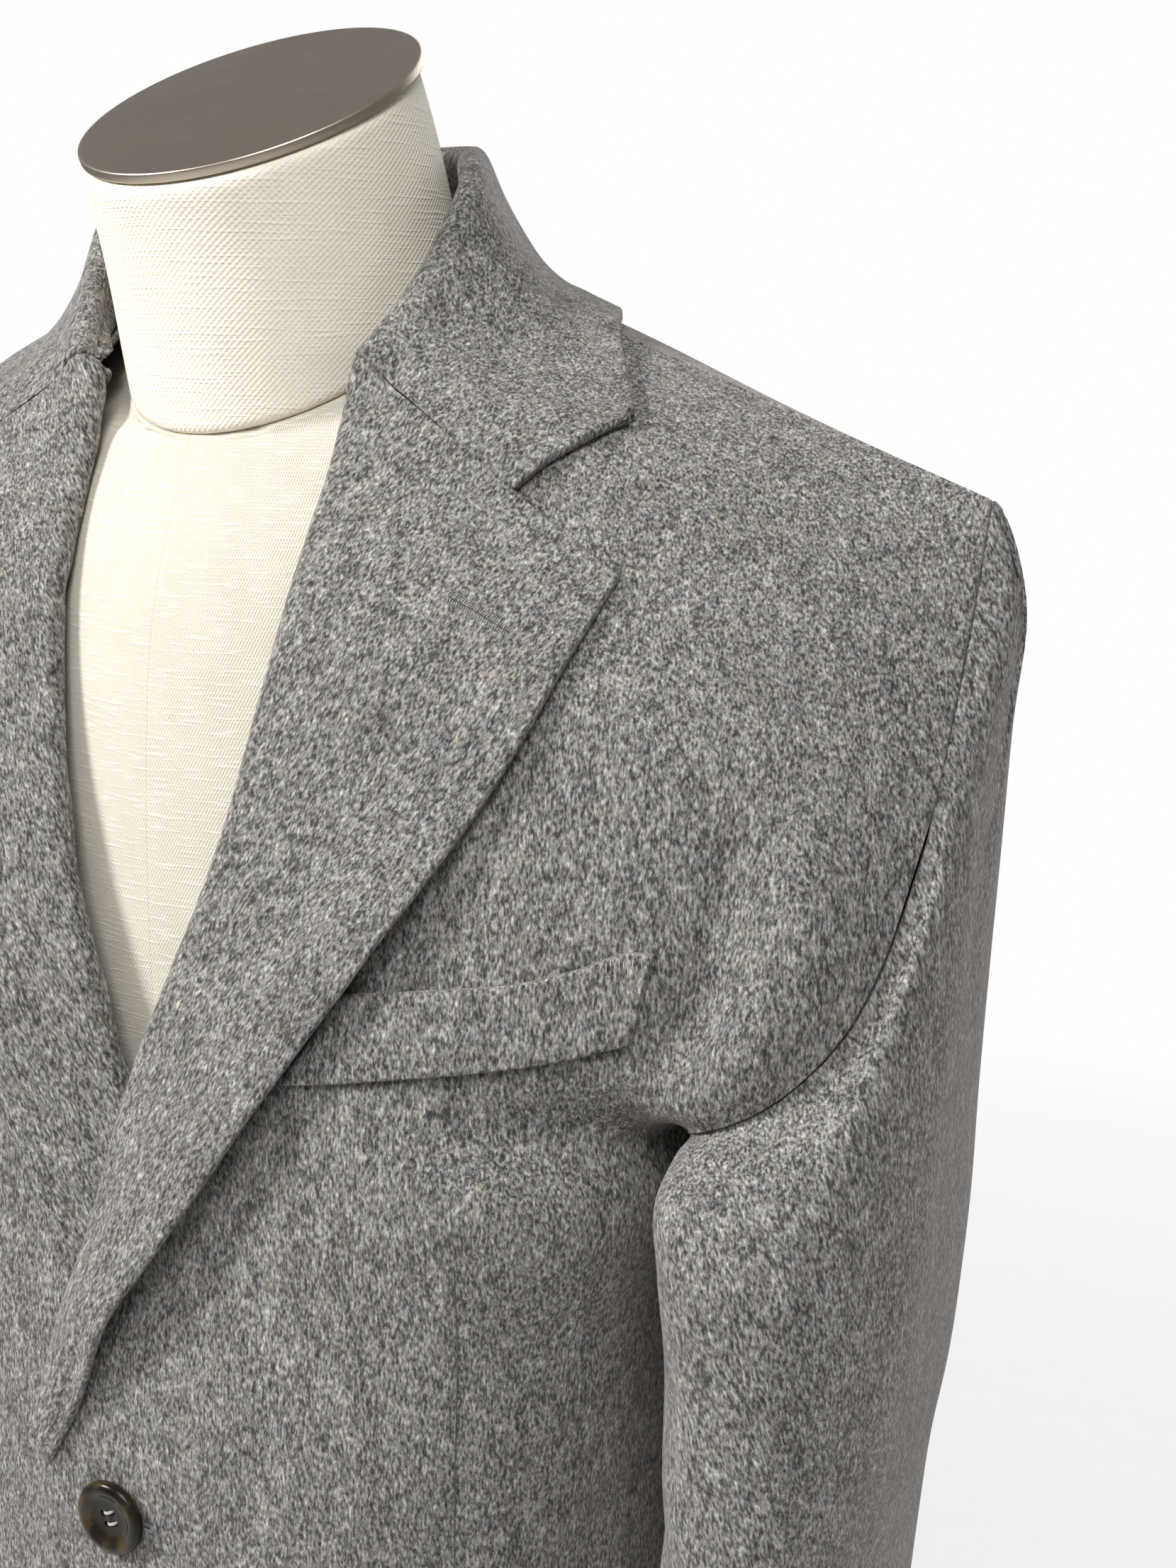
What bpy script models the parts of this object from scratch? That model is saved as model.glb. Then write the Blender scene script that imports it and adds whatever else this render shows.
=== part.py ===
"""Single-breasted overcoat worn by a limbless dress form on a round-based stand.

Run with: blender --background --python part.py
Metres, +Z up.  The coat's front faces -Y and the wearer's left is +X.

Every cloth piece is a closed wall lofted through a short table of sections.  A table
has one row for each section, from the hem up, and its columns are named above it.
Pieces that meet at a seam stop SEAM apart, and what lies on a panel is made from the
panel's own points, moved out.
"""
import math

import bmesh
import bpy
import numpy as np
from mathutils import Vector

# ---------------------------------------------------------------- driving dimensions
SEAM = 0.0003            # gap between pieces that touch
CLOTH = 0.0022           # thickness of the coat's wool cloth
LAPEL_CLOTH = 0.0025     # lapel and collar: two layers pressed together
SIDE_SEAM_Y = 0.018      # the side seams lie a little behind the middle

BUTTON_RADIUS = 0.0140
BUTTON_THICKNESS = 0.0046
BUTTON_HOLE_RADIUS = 0.0011
BUTTON_HOLE_SPACING = 0.0043
BUTTON_X = 0.004         # centre front
BUTTON_TOP_Z = 1.078
BUTTON_STEP = 0.115      # distance between buttons down the front

CAP_CENTRE = (0.0, -0.0333, 1.5585)
CAP_HALF_WIDTH = 0.0601
CAP_HALF_DEPTH = 0.0633
CAP_THICKNESS = 0.0035
CAP_TILT = math.radians(27.0)

BASE_RADIUS = 0.170
BASE_THICKNESS = 0.012
POLE_RADIUS = 0.014
FORM_BOTTOM_Z = 0.800
FLANGE_RADIUS = 0.045
FLANGE_THICKNESS = 0.008

ROW_STEPS = 2            # mesh rows for each row of a panel's table
COLUMN_STEPS = 12        # mesh columns across a panel
SLEEVE_HEAD = 0.28       # how roundly the sleeve leaves its seam

# ---------------------------------------------------------------- section tables
# Armhole seam of the wearer's left side, once round from the shoulder tip,
# down the front, under the arm and up the back.
ARMHOLE_COLUMNS = ("angle", "x", "y", "z")
ARMHOLE = (
    (0, 0.2550, 0.000, 1.432),
    (25, 0.2565, -0.022, 1.393),
    (50, 0.2570, -0.044, 1.355),
    (70, 0.2535, -0.061, 1.320),
    (85, 0.2470, -0.074, 1.290),
    (100, 0.2330, -0.084, 1.267),
    (115, 0.2140, -0.087, 1.251),
    (130, 0.2000, -0.077, 1.242),
    (150, 0.1920, -0.050, 1.233),
    (180, 0.1890, 0.005, 1.226),
    (210, 0.1930, 0.045, 1.238),
    (235, 0.2030, 0.064, 1.268),
    (260, 0.2150, 0.069, 1.305),
    (290, 0.2290, 0.061, 1.350),
    (325, 0.2440, 0.036, 1.400),
    (360, 0.2550, 0.000, 1.432),
)

# Direction in which the cloth faces along that seam.
NORMAL_COLUMNS = ("angle", "x", "y", "z")
ARMHOLE_NORMALS = (
    (0, 0.36, 0.00, 0.93),
    (25, 0.50, -0.62, 0.60),
    (50, 0.55, -0.76, 0.32),
    (80, 0.50, -0.86, 0.10),
    (105, 0.35, -0.93, 0.00),
    (130, 0.60, -0.78, -0.10),
    (150, 0.85, -0.50, -0.10),
    (180, 0.99, 0.00, -0.10),
    (210, 0.85, 0.50, -0.10),
    (235, 0.75, 0.66, 0.00),
    (260, 0.72, 0.68, 0.10),
    (290, 0.70, 0.68, 0.22),
    (325, 0.58, 0.55, 0.60),
    (360, 0.36, 0.00, 0.93),
)

# Front panel: the edge point (front edge, then roll line, then neckline), and where the
# section ends: on the side seam up to the armhole (arm 180), then round the armhole.
# "turn" is the direction in which the section arrives there, in degrees from +X
# towards the back; "full" is how boxy the section is; "under" is how far the right
# front lies beneath the left one.
FRONT_COLUMNS = ("edge_x", "edge_y", "edge_z", "side_x", "side_z", "arm", "turn", "full", "under")
FRONT = (
    (-0.0310, -0.1680, 0.500, 0.220, 0.500, 180, 90, 0.46, 0.0070),
    (-0.0310, -0.1640, 0.700, 0.204, 0.700, 180, 90, 0.48, 0.0070),
    (-0.0310, -0.1580, 0.880, 0.189, 0.880, 180, 90, 0.50, 0.0070),
    (-0.0310, -0.1545, 1.000, 0.178, 1.000, 180, 90, 0.55, 0.0080),
    (-0.0305, -0.1520, 1.088, 0.175, 1.085, 180, 90, 0.59, 0.0130),
    (-0.0080, -0.1410, 1.170, 0.180, 1.165, 180, 90, 0.63, 0.0130),
    (0.0045, -0.1360, 1.215, 0.189, 1.226, 180, 88, 0.65, 0.0130),
    (0.0200, -0.1300, 1.262, 0.000, 0.000, 140, 42, 0.58, 0.0060),
    (0.0400, -0.1155, 1.325, 0.000, 0.000, 105, 24, 0.44, 0.0),
    (0.0490, -0.1040, 1.370, 0.000, 0.000, 80, 32, 0.40, 0.0),
    (0.0540, -0.0945, 1.400, 0.000, 0.000, 55, 42, 0.40, 0.0),
    (0.0575, -0.0705, 1.444, 0.000, 0.000, 28, 36, 0.38, 0.0),
    (0.0600, -0.0580, 1.470, 0.000, 0.000, 12, 20, 0.36, 0.0),
    (0.0790, 0.0048, 1.4965, 0.000, 0.000, 0, 0, 0.34, 0.0),
)
BREAK_ROW = 4.12         # where the roll line leaves the front edge
GORGE_ROW = 12.0         # where it meets the collar

# Back panel, wearer's left half: the centre line, then the neckline.
BACK_COLUMNS = FRONT_COLUMNS
BACK = (
    (0.0, 0.1580, 0.500, 0.220, 0.500, 180, -90, 0.42, 0.0),
    (0.0, 0.1400, 0.700, 0.204, 0.700, 180, -90, 0.42, 0.0),
    (0.0, 0.1200, 0.880, 0.189, 0.880, 180, -90, 0.42, 0.0),
    (0.0, 0.1060, 1.000, 0.178, 1.000, 180, -90, 0.42, 0.0),
    (0.0, 0.1010, 1.088, 0.175, 1.085, 180, -90, 0.42, 0.0),
    (0.0, 0.1060, 1.170, 0.180, 1.165, 180, -90, 0.42, 0.0),
    (0.0, 0.1140, 1.235, 0.189, 1.226, 180, -88, 0.42, 0.0),
    (0.0, 0.1220, 1.300, 0.000, 0.000, 215, -60, 0.42, 0.0),
    (0.0, 0.1230, 1.350, 0.000, 0.000, 245, -48, 0.42, 0.0),
    (0.0, 0.1160, 1.400, 0.000, 0.000, 275, -50, 0.42, 0.0),
    (0.0, 0.1000, 1.450, 0.000, 0.000, 310, -44, 0.40, 0.0),
    (0.0, 0.0630, 1.505, 0.000, 0.000, 338, -25, 0.38, 0.0),
    (0.0360, 0.0570, 1.505, 0.000, 0.000, 350, -12, 0.36, 0.0),
    (0.0790, 0.0052, 1.4965, 0.000, 0.000, 360, 0, 0.34, 0.0),
)
BACK_NECK_ROW = 11       # the row whose edge point is the back neck point

# The opening sits a little towards the wearer's left.
OPENING_SHIFT = 0.004

# Sleeve of the wearer's left, below the armhole: rings from the upper arm to the cuff.
SLEEVE_COLUMNS = ("z", "centre_x", "centre_y", "inner", "outer", "half_depth", "slope")
SLEEVE = (
    (1.190, 0.2220, -0.035, 0.0340, 0.0410, 0.0880, 0.00),
    (1.140, 0.2215, -0.038, 0.0340, 0.0390, 0.0870, 0.03),
    (1.090, 0.2210, -0.045, 0.0322, 0.0340, 0.0840, 0.07),
    (1.010, 0.2210, -0.055, 0.0315, 0.0315, 0.0800, 0.11),
    (0.940, 0.2215, -0.064, 0.0305, 0.0305, 0.0765, 0.14),
    (0.875, 0.2220, -0.071, 0.0300, 0.0300, 0.0730, 0.16),
    (0.815, 0.2230, -0.077, 0.0290, 0.0290, 0.0700, 0.17),
)

# Lapel: the panel row of the roll line, and the free edge seen from the front.
LAPEL_COLUMNS = ("row", "outer_x", "outer_z", "lift")
LAPEL = (
    (4.12, -0.0245, 1.0895, 0.0010),
    (4.80, 0.0060, 1.1430, 0.0040),
    (5.60, 0.0370, 1.1900, 0.0055),
    (6.50, 0.0700, 1.2410, 0.0055),
    (7.50, 0.1000, 1.2900, 0.0050),
    (8.60, 0.1260, 1.3330, 0.0030),
    (10.00, 0.1460, 1.3690, 0.0015),
    (12.00, 0.1610, 1.4100, 0.0010),
)
NOTCH_SHARE = 0.59       # the notch lies this far along the lapel's top edge
COLLAR_CORNER = (0.1470, 0.0, 1.4530)

# Collar, wearer's left half from the centre back: the foot of the stand, the top of the
# fold and the outer edge.
COLLAR_COLUMNS = ("foot_x", "foot_y", "foot_z", "fold_x", "fold_y", "fold_z",
                  "outer_x", "outer_y", "outer_z", "hang")
COLLAR = (
    (0.0000, 0.0620, 1.5085, 0.0000, 0.0500, 1.5490, 0.0000, 0.0850, 1.4860, 0.46),
    (0.0350, 0.0565, 1.5085, 0.0270, 0.0460, 1.5485, 0.0500, 0.0760, 1.4860, 0.46),
    (0.0610, 0.0340, 1.5060, 0.0460, 0.0310, 1.5465, 0.0920, 0.0500, 1.4830, 0.42),
    (0.0770, 0.0050, 1.5000, 0.0600, 0.0060, 1.5420, 0.1180, 0.0110, 1.4815, 0.34),
    (0.0740, -0.0200, 1.4900, 0.0740, -0.0210, 1.5290, 0.1290, -0.0080, 1.4760, 0.30),
    (0.0680, -0.0400, 1.4805, 0.0690, -0.0395, 1.5020, 0.1400, -0.0230, 1.4660, 0.30),
    (0.0600, -0.0550, 1.4740, 0.0570, -0.0615, 1.4760, 0.1490, -0.0370, 1.4540, 0.30),
)
COLLAR_ROLL_RADIUS = 0.0032
COLLAR_LIFT = 0.0018     # the collar's fall stands this much off the panels

# Chest pocket welt on the wearer's left, seen from the front.
WELT_COLUMNS = ("share", "top_x", "top_z", "foot_x", "foot_z")
WELT = (
    (0.00, 0.0890, 1.2810, 0.0710, 1.2490),
    (0.30, 0.1190, 1.2860, 0.1050, 1.2560),
    (0.55, 0.1440, 1.2900, 0.1320, 1.2610),
    (0.80, 0.1680, 1.2980, 0.1590, 1.2675),
    (0.92, 0.1800, 1.3035, 0.1730, 1.2720),
    (1.00, 0.1880, 1.3035, 0.1820, 1.2750),
)
WELT_THICKNESS = 0.0028

# Largest folds: a trough runs from one front-view point to another on the wearer's
# left; width and depth are its own.
FOLD_COLUMNS = ("x0", "z0", "x1", "z1", "width", "depth")
FRONT_FOLDS = (
    (0.2150, 1.345, 0.1985, 1.262, 0.010, 0.0050),
    (0.2330, 1.335, 0.2200, 1.275, 0.013, -0.0035),
    (0.1700, 1.020, 0.1780, 0.540, 0.028, 0.0080),
    (0.0900, 0.960, 0.1020, 0.520, 0.032, 0.0040),
)
BACK_FOLDS = (
    (0.1500, 1.080, 0.1560, 0.520, 0.030, 0.0090),
    (0.0600, 1.000, 0.0560, 0.520, 0.034, 0.0070),
    (0.1850, 1.360, 0.1500, 1.200, 0.020, 0.0050),
)

# Dress form: rings from the bottom up.  The three heights are those of a ring's
# front, side and back; "pinch" from 0 to 1 narrows the ring's front and back.
FORM_COLUMNS = ("z_front", "z_side", "z_back", "half_width", "front", "middle", "back", "pinch")
TORSO = (
    (0.800, 0.800, 0.800, 0.1480, -0.0900, 0.003, 0.0960, 0.0),
    (0.900, 0.900, 0.900, 0.1600, -0.1030, 0.003, 0.1080, 0.0),
    (1.000, 1.000, 1.000, 0.1480, -0.1040, 0.003, 0.0920, 0.0),
    (1.080, 1.080, 1.080, 0.1420, -0.1060, 0.003, 0.0850, 0.0),
    (1.180, 1.180, 1.180, 0.1540, -0.1110, 0.003, 0.0930, 0.0),
    (1.262, 1.262, 1.262, 0.1620, -0.1125, 0.003, 0.1000, 0.05),
    (1.325, 1.325, 1.325, 0.1700, -0.1095, 0.003, 0.1030, 0.25),
    (1.373, 1.373, 1.373, 0.1740, -0.1045, 0.003, 0.1010, 0.50),
    (1.400, 1.405, 1.412, 0.1760, -0.0980, 0.003, 0.0950, 0.65),
    (1.421, 1.432, 1.446, 0.1760, -0.0895, 0.003, 0.0840, 0.75),
    (1.434, 1.4495, 1.470, 0.1700, -0.0820, 0.003, 0.0730, 0.85),
    (1.441, 1.4648, 1.484, 0.1480, -0.0785, 0.003, 0.0625, 0.70),
    (1.445, 1.4780, 1.491, 0.1140, -0.0767, 0.003, 0.0580, 0.45),
    (1.447, 1.4870, 1.495, 0.0850, -0.0757, 0.001, 0.0550, 0.35),
    (1.448, 1.4900, 1.497, 0.0640, -0.0752, -0.010, 0.0530, 0.10),
)
NECK = (
    (1.448, 1.4900, 1.497, 0.0640, -0.0752, -0.010, 0.0530, 0.10),
    (1.462, 1.5030, 1.512, 0.0612, -0.0765, -0.014, 0.0480, 0.0),
    (1.485, 1.5240, 1.540, 0.0600, -0.0805, -0.020, 0.0400, 0.0),
    (1.507, 1.5410, 1.565, 0.0595, -0.0850, -0.0275, 0.0300, 0.0),
    (1.5270, 1.5552, 1.5833, 0.0592, -0.0905, -0.0353, 0.0200, 0.0),
)

MATERIALS = {
    "coat_wool": ((0.190, 0.183, 0.176), 0.95, 0.0),
    "form_linen": ((0.720, 0.690, 0.620), 0.90, 0.0),
    "brushed_steel": ((0.300, 0.275, 0.250), 0.35, 1.0),
    "button_horn": ((0.035, 0.026, 0.016), 0.25, 0.0),
}


# ---------------------------------------------------------------- small mathematics
def unit(vectors):
    """Vectors divided by their lengths, along the last axis."""
    length = np.linalg.norm(vectors, axis=-1, keepdims=True)
    return vectors / np.maximum(length, 1e-12)


def smooth_step(value):
    """Ease from 0 to 1 between 0 and 1."""
    value = np.clip(value, 0.0, 1.0)
    return value * value * (3.0 - 2.0 * value)


def level_slope(before, after):
    """Slope at a row that never overshoots: none where the direction turns."""
    product = before * after
    total = np.where(np.abs(before + after) > 1e-12, before + after, 1.0)
    return np.where(product > 0, 2.0 * product / total, 0.0)


def through_rows(values, position):
    """Smooth curve through the rows of a table, read at a row position."""
    values = np.asarray(values, dtype=float)
    position = np.clip(np.asarray(position, dtype=float), 0.0, len(values) - 1.0)
    first = np.minimum(position.astype(int), len(values) - 2)
    share = (position - first)[..., None]
    before = values[np.maximum(first - 1, 0)]
    start = values[first]
    end = values[first + 1]
    after = values[np.minimum(first + 2, len(values) - 1)]
    slope_start = level_slope(start - before, end - start)
    slope_end = level_slope(end - start, after - end)
    cube = share ** 3
    square = share ** 2
    return ((2 * cube - 3 * square + 1) * start + (cube - 2 * square + share) * slope_start
            + (3 * square - 2 * cube) * end + (cube - square) * slope_end)


def read_table(table, keys, position):
    """Smoothly interpolated rows of a table whose first column is its position."""
    table = np.asarray(table, dtype=float)
    index = np.interp(position, table[:, 0], np.arange(len(table)))
    return through_rows(table[:, keys], index)


def through_line(values, index):
    """Straight lines through the rows of an array, read at a row index."""
    first = min(int(index), len(values) - 2)
    return values[first] + (values[first + 1] - values[first]) * (index - first)


def armhole(angle):
    """Point of the left armhole seam at an angle in degrees."""
    return read_table(ARMHOLE, [1, 2, 3], angle)


def grid_normals(points, flip=False):
    """Unit normals of a grid of points, from the differences along its two ways."""
    along = np.gradient(points, axis=0)
    across = np.gradient(points, axis=1)
    normals = unit(np.cross(across, along))
    return -normals if flip else normals


# ---------------------------------------------------------------- body panels
class Panel:
    """A front or back panel of the left side: its grid of points and outward normals."""

    def __init__(self, table, folds, side_shift, toward_back):
        rows = np.asarray(table, dtype=float)
        self.edge = rows[:, 0:3]
        self.arm = rows[:, 5:6]
        self.turn = np.radians(rows[:, 6:7])
        self.full = rows[:, 7:8]
        self.under = rows[:, 8:9]
        self.side = np.stack([rows[:, 3], np.full(len(rows), SIDE_SEAM_Y), rows[:, 4]], 1)
        self.folds = folds
        self.side_shift = side_shift
        self.toward_back = toward_back
        self.last_side_row = int(np.max(np.nonzero(rows[:, 3] > 0)))
        self.side[self.last_side_row] = armhole(180.0)
        self.rows = np.arange(0.0, len(rows) - 0.9, 1.0 / ROW_STEPS)
        self.shares = np.linspace(0.0, 1.0, COLUMN_STEPS + 1)

    def arm_angles(self):
        """Armhole angles at which the panel's rows end, from the underarm up."""
        rows = self.rows[self.rows >= self.last_side_row]
        return through_rows(self.arm, rows)[:, 0]

    def side_point(self, row):
        """Where the sections end: down the side seam, or round the armhole."""
        seam = through_rows(self.side[:self.last_side_row + 1], np.minimum(row, self.last_side_row))
        round_arm = armhole(through_rows(self.arm, row)[..., 0])
        point = np.where((row > self.last_side_row)[..., None], round_arm, seam)
        point[..., 1] += self.side_shift
        return point

    def plain(self, row, share):
        """Section point before its folds: a curve from the edge to the side."""
        start = through_rows(self.edge, row)
        end = self.side_point(row)
        turn = through_rows(self.turn, row)[..., 0]
        reach = through_rows(self.full, row)[..., 0] * np.linalg.norm((end - start)[..., :2], axis=-1)
        rise = (end - start)[..., 2] / 3.0
        leave = start + np.stack([reach, np.zeros_like(reach), rise], -1)
        arrive = end - np.stack([reach * np.cos(turn), reach * np.sin(turn), rise], -1)
        share = share[..., None]
        rest = 1.0 - share
        return (rest ** 3 * start + 3 * rest ** 2 * share * leave
                + 3 * rest * share ** 2 * arrive + share ** 3 * end)

    def grid(self, right=False):
        """Points and outward normals of the panel's own grid, folds included."""
        row, share = np.meshgrid(self.rows, self.shares, indexing="ij")
        points = self.plain(row, share)
        normals = grid_normals(points, flip=self.toward_back)
        fade = smooth_step(share / 0.12) * smooth_step((1.0 - share) / 0.12)
        for x0, z0, x1, z1, width, depth in self.folds:
            length = math.hypot(x1 - x0, z1 - z0)
            run = points[..., 0] - x0, points[..., 2] - z0
            along = (run[0] * (x1 - x0) + run[1] * (z1 - z0)) / length ** 2
            aside = (run[0] * (z1 - z0) - run[1] * (x1 - x0)) / length
            ends = smooth_step((along + 0.15) / 0.5) * smooth_step((1.35 - along) / 0.4)
            trough = depth * np.exp(-(aside / width) ** 2) * ends * fade
            points = points - normals * trough[..., None]
        if right:
            drop = through_rows(self.under, row)[..., 0] * (1.0 - smooth_step((share - 0.22) / 0.45))
            points = points + np.stack([0 * drop, drop, 0 * drop], -1)
        return points, self.border(grid_normals(points, flip=self.toward_back))

    def border(self, normals):
        """Normals with those of the seams shared by the pieces on both sides."""
        side = self.rows <= self.last_side_row
        normals[side, -1, 1] = 0.0
        normals[~side, -1] = armhole_normal(through_rows(self.arm, self.rows[~side])[:, 0])
        return unit(normals)


def fine_grid(values, split):
    """The flat quads of a grid divided into smaller ones."""
    rows, columns = values.shape[:2]
    at_row = np.linspace(0.0, rows - 1.0, (rows - 1) * split + 1)
    at_column = np.linspace(0.0, columns - 1.0, (columns - 1) * split + 1)
    r = np.minimum(at_row.astype(int), rows - 2)
    c = np.minimum(at_column.astype(int), columns - 2)
    u = (at_row - r)[:, None, None]
    v = (at_column - c)[None, :, None]
    low = values[r][:, c] * (1 - v) + values[r][:, c + 1] * v
    high = values[r + 1][:, c] * (1 - v) + values[r + 1][:, c + 1] * v
    return low * (1 - u) + high * u


def armhole_normal(angles):
    """Outward normal of the coat along the armhole seam."""
    angles = np.atleast_1d(angles).astype(float)
    table = np.array([row[1:] for row in ARMHOLE_NORMALS], dtype=float)
    index = np.interp(angles, [row[0] for row in ARMHOLE_NORMALS], np.arange(len(table)))
    return unit(through_rows(table, index))


FRONT_PANEL = Panel(FRONT, FRONT_FOLDS, -SEAM / 2, toward_back=False)
BACK_PANEL = Panel(BACK, BACK_FOLDS, SEAM / 2, toward_back=True)


def worn(points):
    """Points moved as the coat hangs: its opening sits towards the wearer's left."""
    x, y, z = points[..., 0], points[..., 1], points[..., 2]
    amount = OPENING_SHIFT * smooth_step((z - 1.225) / 0.10) * (1 - 0.6 * smooth_step((z - 1.44) / 0.05))
    amount = amount * (1 - smooth_step((np.abs(x) - 0.07) / 0.09)) * smooth_step((0.01 - y) / 0.05)
    return points + np.stack([amount, 0 * amount, 0 * amount], -1)


def resting(points, panel_points, panel_normals, clearance):
    """Points pushed out where they come nearer to a panel than the clearance."""
    flat_panel = panel_points.reshape(-1, 3)
    flat_normal = panel_normals.reshape(-1, 3)
    result = points.copy()
    for index in np.ndindex(points.shape[:-1]):
        point = result[index]
        nearest = np.argmin(np.sum((flat_panel - point) ** 2, axis=1))
        height = float(np.dot(point - flat_panel[nearest], flat_normal[nearest]))
        if height < clearance[index]:
            result[index] = point + flat_normal[nearest] * (clearance[index] - height)
    return result


def on_panel(panel_points, panel_normals, x, z):
    """Panel point and normal straight behind a front-view place."""
    flat_panel = panel_points.reshape(-1, 3)
    flat_normal = panel_normals.reshape(-1, 3)
    distance = (flat_panel[:, 0] - x) ** 2 + (flat_panel[:, 2] - z) ** 2
    order = np.argsort(distance)[:4]
    weight = 1.0 / (distance[order] + 1e-9)
    weight = weight / weight.sum()
    place = (flat_panel[order] * weight[:, None]).sum(0)
    normal = unit((flat_normal[order] * weight[:, None]).sum(0))
    slide = np.array([x - place[0], 0.0, z - place[2]])
    place = place + slide
    place[1] -= float(np.dot(slide, normal)) / normal[1]
    return place, normal


# ---------------------------------------------------------------- mesh making
def new_object(name, vertices, faces, material):
    """Mesh object with its faces turned outwards."""
    mesh = bpy.data.meshes.new(name)
    mesh.from_pydata([tuple(map(float, v)) for v in vertices], [], faces)
    work = bmesh.new()
    work.from_mesh(mesh)
    bmesh.ops.remove_doubles(work, verts=work.verts, dist=1e-6)
    bmesh.ops.recalc_face_normals(work, faces=work.faces)
    work.to_mesh(mesh)
    work.free()
    mesh.shade_smooth()
    mesh.set_sharp_from_angle(angle=math.radians(40.0))
    mesh.materials.append(bpy.data.materials[material])
    item = bpy.data.objects.new(name, mesh)
    bpy.context.scene.collection.objects.link(item)
    return item


def quad_faces(rows, columns, offset, closed=False):
    """Quads over a grid of vertices, closed round its columns if asked."""
    faces = []
    for r in range(rows - 1):
        for c in range(columns if closed else columns - 1):
            d = (c + 1) % columns
            a = offset + r * columns
            b = a + columns
            faces.append((a + c, a + d, b + d, b + c))
    return faces


def wall(name, outer, inner, material, closed=False):
    """Closed wall between two grids of points of the same size."""
    rows, columns = outer.shape[:2]
    count = rows * columns
    vertices = list(outer.reshape(-1, 3)) + list(inner.reshape(-1, 3))
    faces = quad_faces(rows, columns, 0, closed)
    faces += [tuple(reversed(face)) for face in quad_faces(rows, columns, count, closed)]
    round_columns = columns if closed else columns - 1
    for r in (0, rows - 1):
        for c in range(round_columns):
            a = r * columns + c
            b = r * columns + (c + 1) % columns
            faces.append((a, b, b + count, a + count))
    if not closed:
        for c in (0, columns - 1):
            for r in range(rows - 1):
                a = r * columns + c
                b = a + columns
                faces.append((a, b, b + count, a + count))
    return new_object(name, vertices, faces, material)


def mirrored(points):
    """The same points on the wearer's right."""
    return points * np.array([-1.0, 1.0, 1.0])


def make_fronts():
    """Left and right front panels; the right one lies beneath at the middle."""
    for name, right in (("front_left", False), ("front_right", True)):
        points, normals = FRONT_PANEL.grid(right)
        inner = points - normals * CLOTH
        inner[-1] = points[-1] - shoulder_normal(points[-1]) * CLOTH
        if right:
            points, inner = mirrored(points), mirrored(inner)
        wall(name, worn(points), worn(inner), "coat_wool")


def shoulder_normal(seam):
    """Direction square to the shoulder seam with no lean to front or back."""
    along = unit(np.gradient(seam, axis=0))
    return unit(np.stack([-along[:, 2], np.zeros(len(seam)), along[:, 0]], -1))


def make_back():
    """Back panel in one piece, folded out from its left half."""
    rows = BACK_PANEL.rows
    points, normals = BACK_PANEL.grid()
    neck = rows <= BACK_NECK_ROW
    points[neck, 0, 0] = 0.0
    normals[neck, 0, 0] = 0.0
    normals = unit(normals)
    inner = points - normals * CLOTH
    inner[-1] = points[-1] - shoulder_normal(points[-1]) * CLOTH
    inner[neck, 0, 0] = 0.0
    vertices = []
    faces = []
    for sign in (1.0, -1.0):
        flip = np.array([sign, 1.0, 1.0])
        start = len(vertices)
        rows_count, columns = points.shape[:2]
        count = rows_count * columns
        vertices += list((points * flip).reshape(-1, 3)) + list((inner * flip).reshape(-1, 3))
        faces += quad_faces(rows_count, columns, start)
        faces += quad_faces(rows_count, columns, start + count)
        for r in (0, rows_count - 1):
            for c in range(columns - 1):
                a = start + r * columns + c
                faces.append((a, a + 1, a + 1 + count, a + count))
        for r in range(rows_count - 1):
            a = start + r * columns + columns - 1
            faces.append((a, a + columns, a + columns + count, a + count))
            if rows[r] >= BACK_NECK_ROW:
                a = start + r * columns
                faces.append((a, a + columns, a + columns + count, a + count))
    new_object("back", vertices, faces, "coat_wool")


def make_sleeves():
    """Sleeves: set into the armhole with a rounded head, then rings down to the cuff."""
    front_angles = FRONT_PANEL.arm_angles()[::-1]
    angles = np.concatenate([front_angles, BACK_PANEL.arm_angles()[1:-1]])
    seam = armhole(angles)
    step = 2.0
    tangent = unit(armhole((angles + step) % 360.0) - armhole((angles - step) % 360.0))
    under = smooth_step(1.0 - np.abs(angles - 180.0) / 75.0)[:, None]
    facing = unit(armhole_normal(angles) * (1.0 - under) + np.array([0.0, 0.0, -1.0]) * under)
    outward = unit(np.cross(facing, tangent))
    table = np.asarray(SLEEVE)
    radians = np.radians(angles)

    def ring(row):
        z, centre_x, centre_y, inside, outside, depth, slope = through_rows(table, np.array(row))
        width = np.where(np.cos(radians) > 0, outside, inside)
        x = centre_x + width * np.sign(np.cos(radians)) * np.abs(np.cos(radians)) ** 0.8
        y = centre_y - depth * np.sign(np.sin(radians)) * np.abs(np.sin(radians)) ** 0.8
        return np.stack([x, y, z - slope * (y - centre_y)], -1)

    upper = ring(0.0)
    start = seam + outward * 3 * SEAM
    distance = np.linalg.norm(upper - seam, axis=-1)[:, None]
    leave = outward * distance * SLEEVE_HEAD
    arrive = np.array([0.0, 0.0, -0.95]) * distance
    rings = []
    for share in np.linspace(0.0, 1.0, 9) ** 1.35:
        cube, square = share ** 3, share ** 2
        rings.append((2 * cube - 3 * square + 1) * start + (cube - 2 * square + share) * leave
                     + (3 * square - 2 * cube) * upper + (cube - square) * arrive)
    for row in np.linspace(0.0, len(SLEEVE) - 1.0, 11)[1:]:
        rings.append(ring(row))
    outer = np.array(rings)
    wrapped = np.concatenate([outer[:, -1:], outer, outer[:, :1]], 1)
    normals = grid_normals(wrapped)[:, 1:-1]
    normals[0] = facing
    inner = outer - normals * CLOTH
    wall("sleeve_left", outer, inner, "coat_wool", closed=True)
    wall("sleeve_right", mirrored(outer), mirrored(inner), "coat_wool", closed=True)


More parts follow.
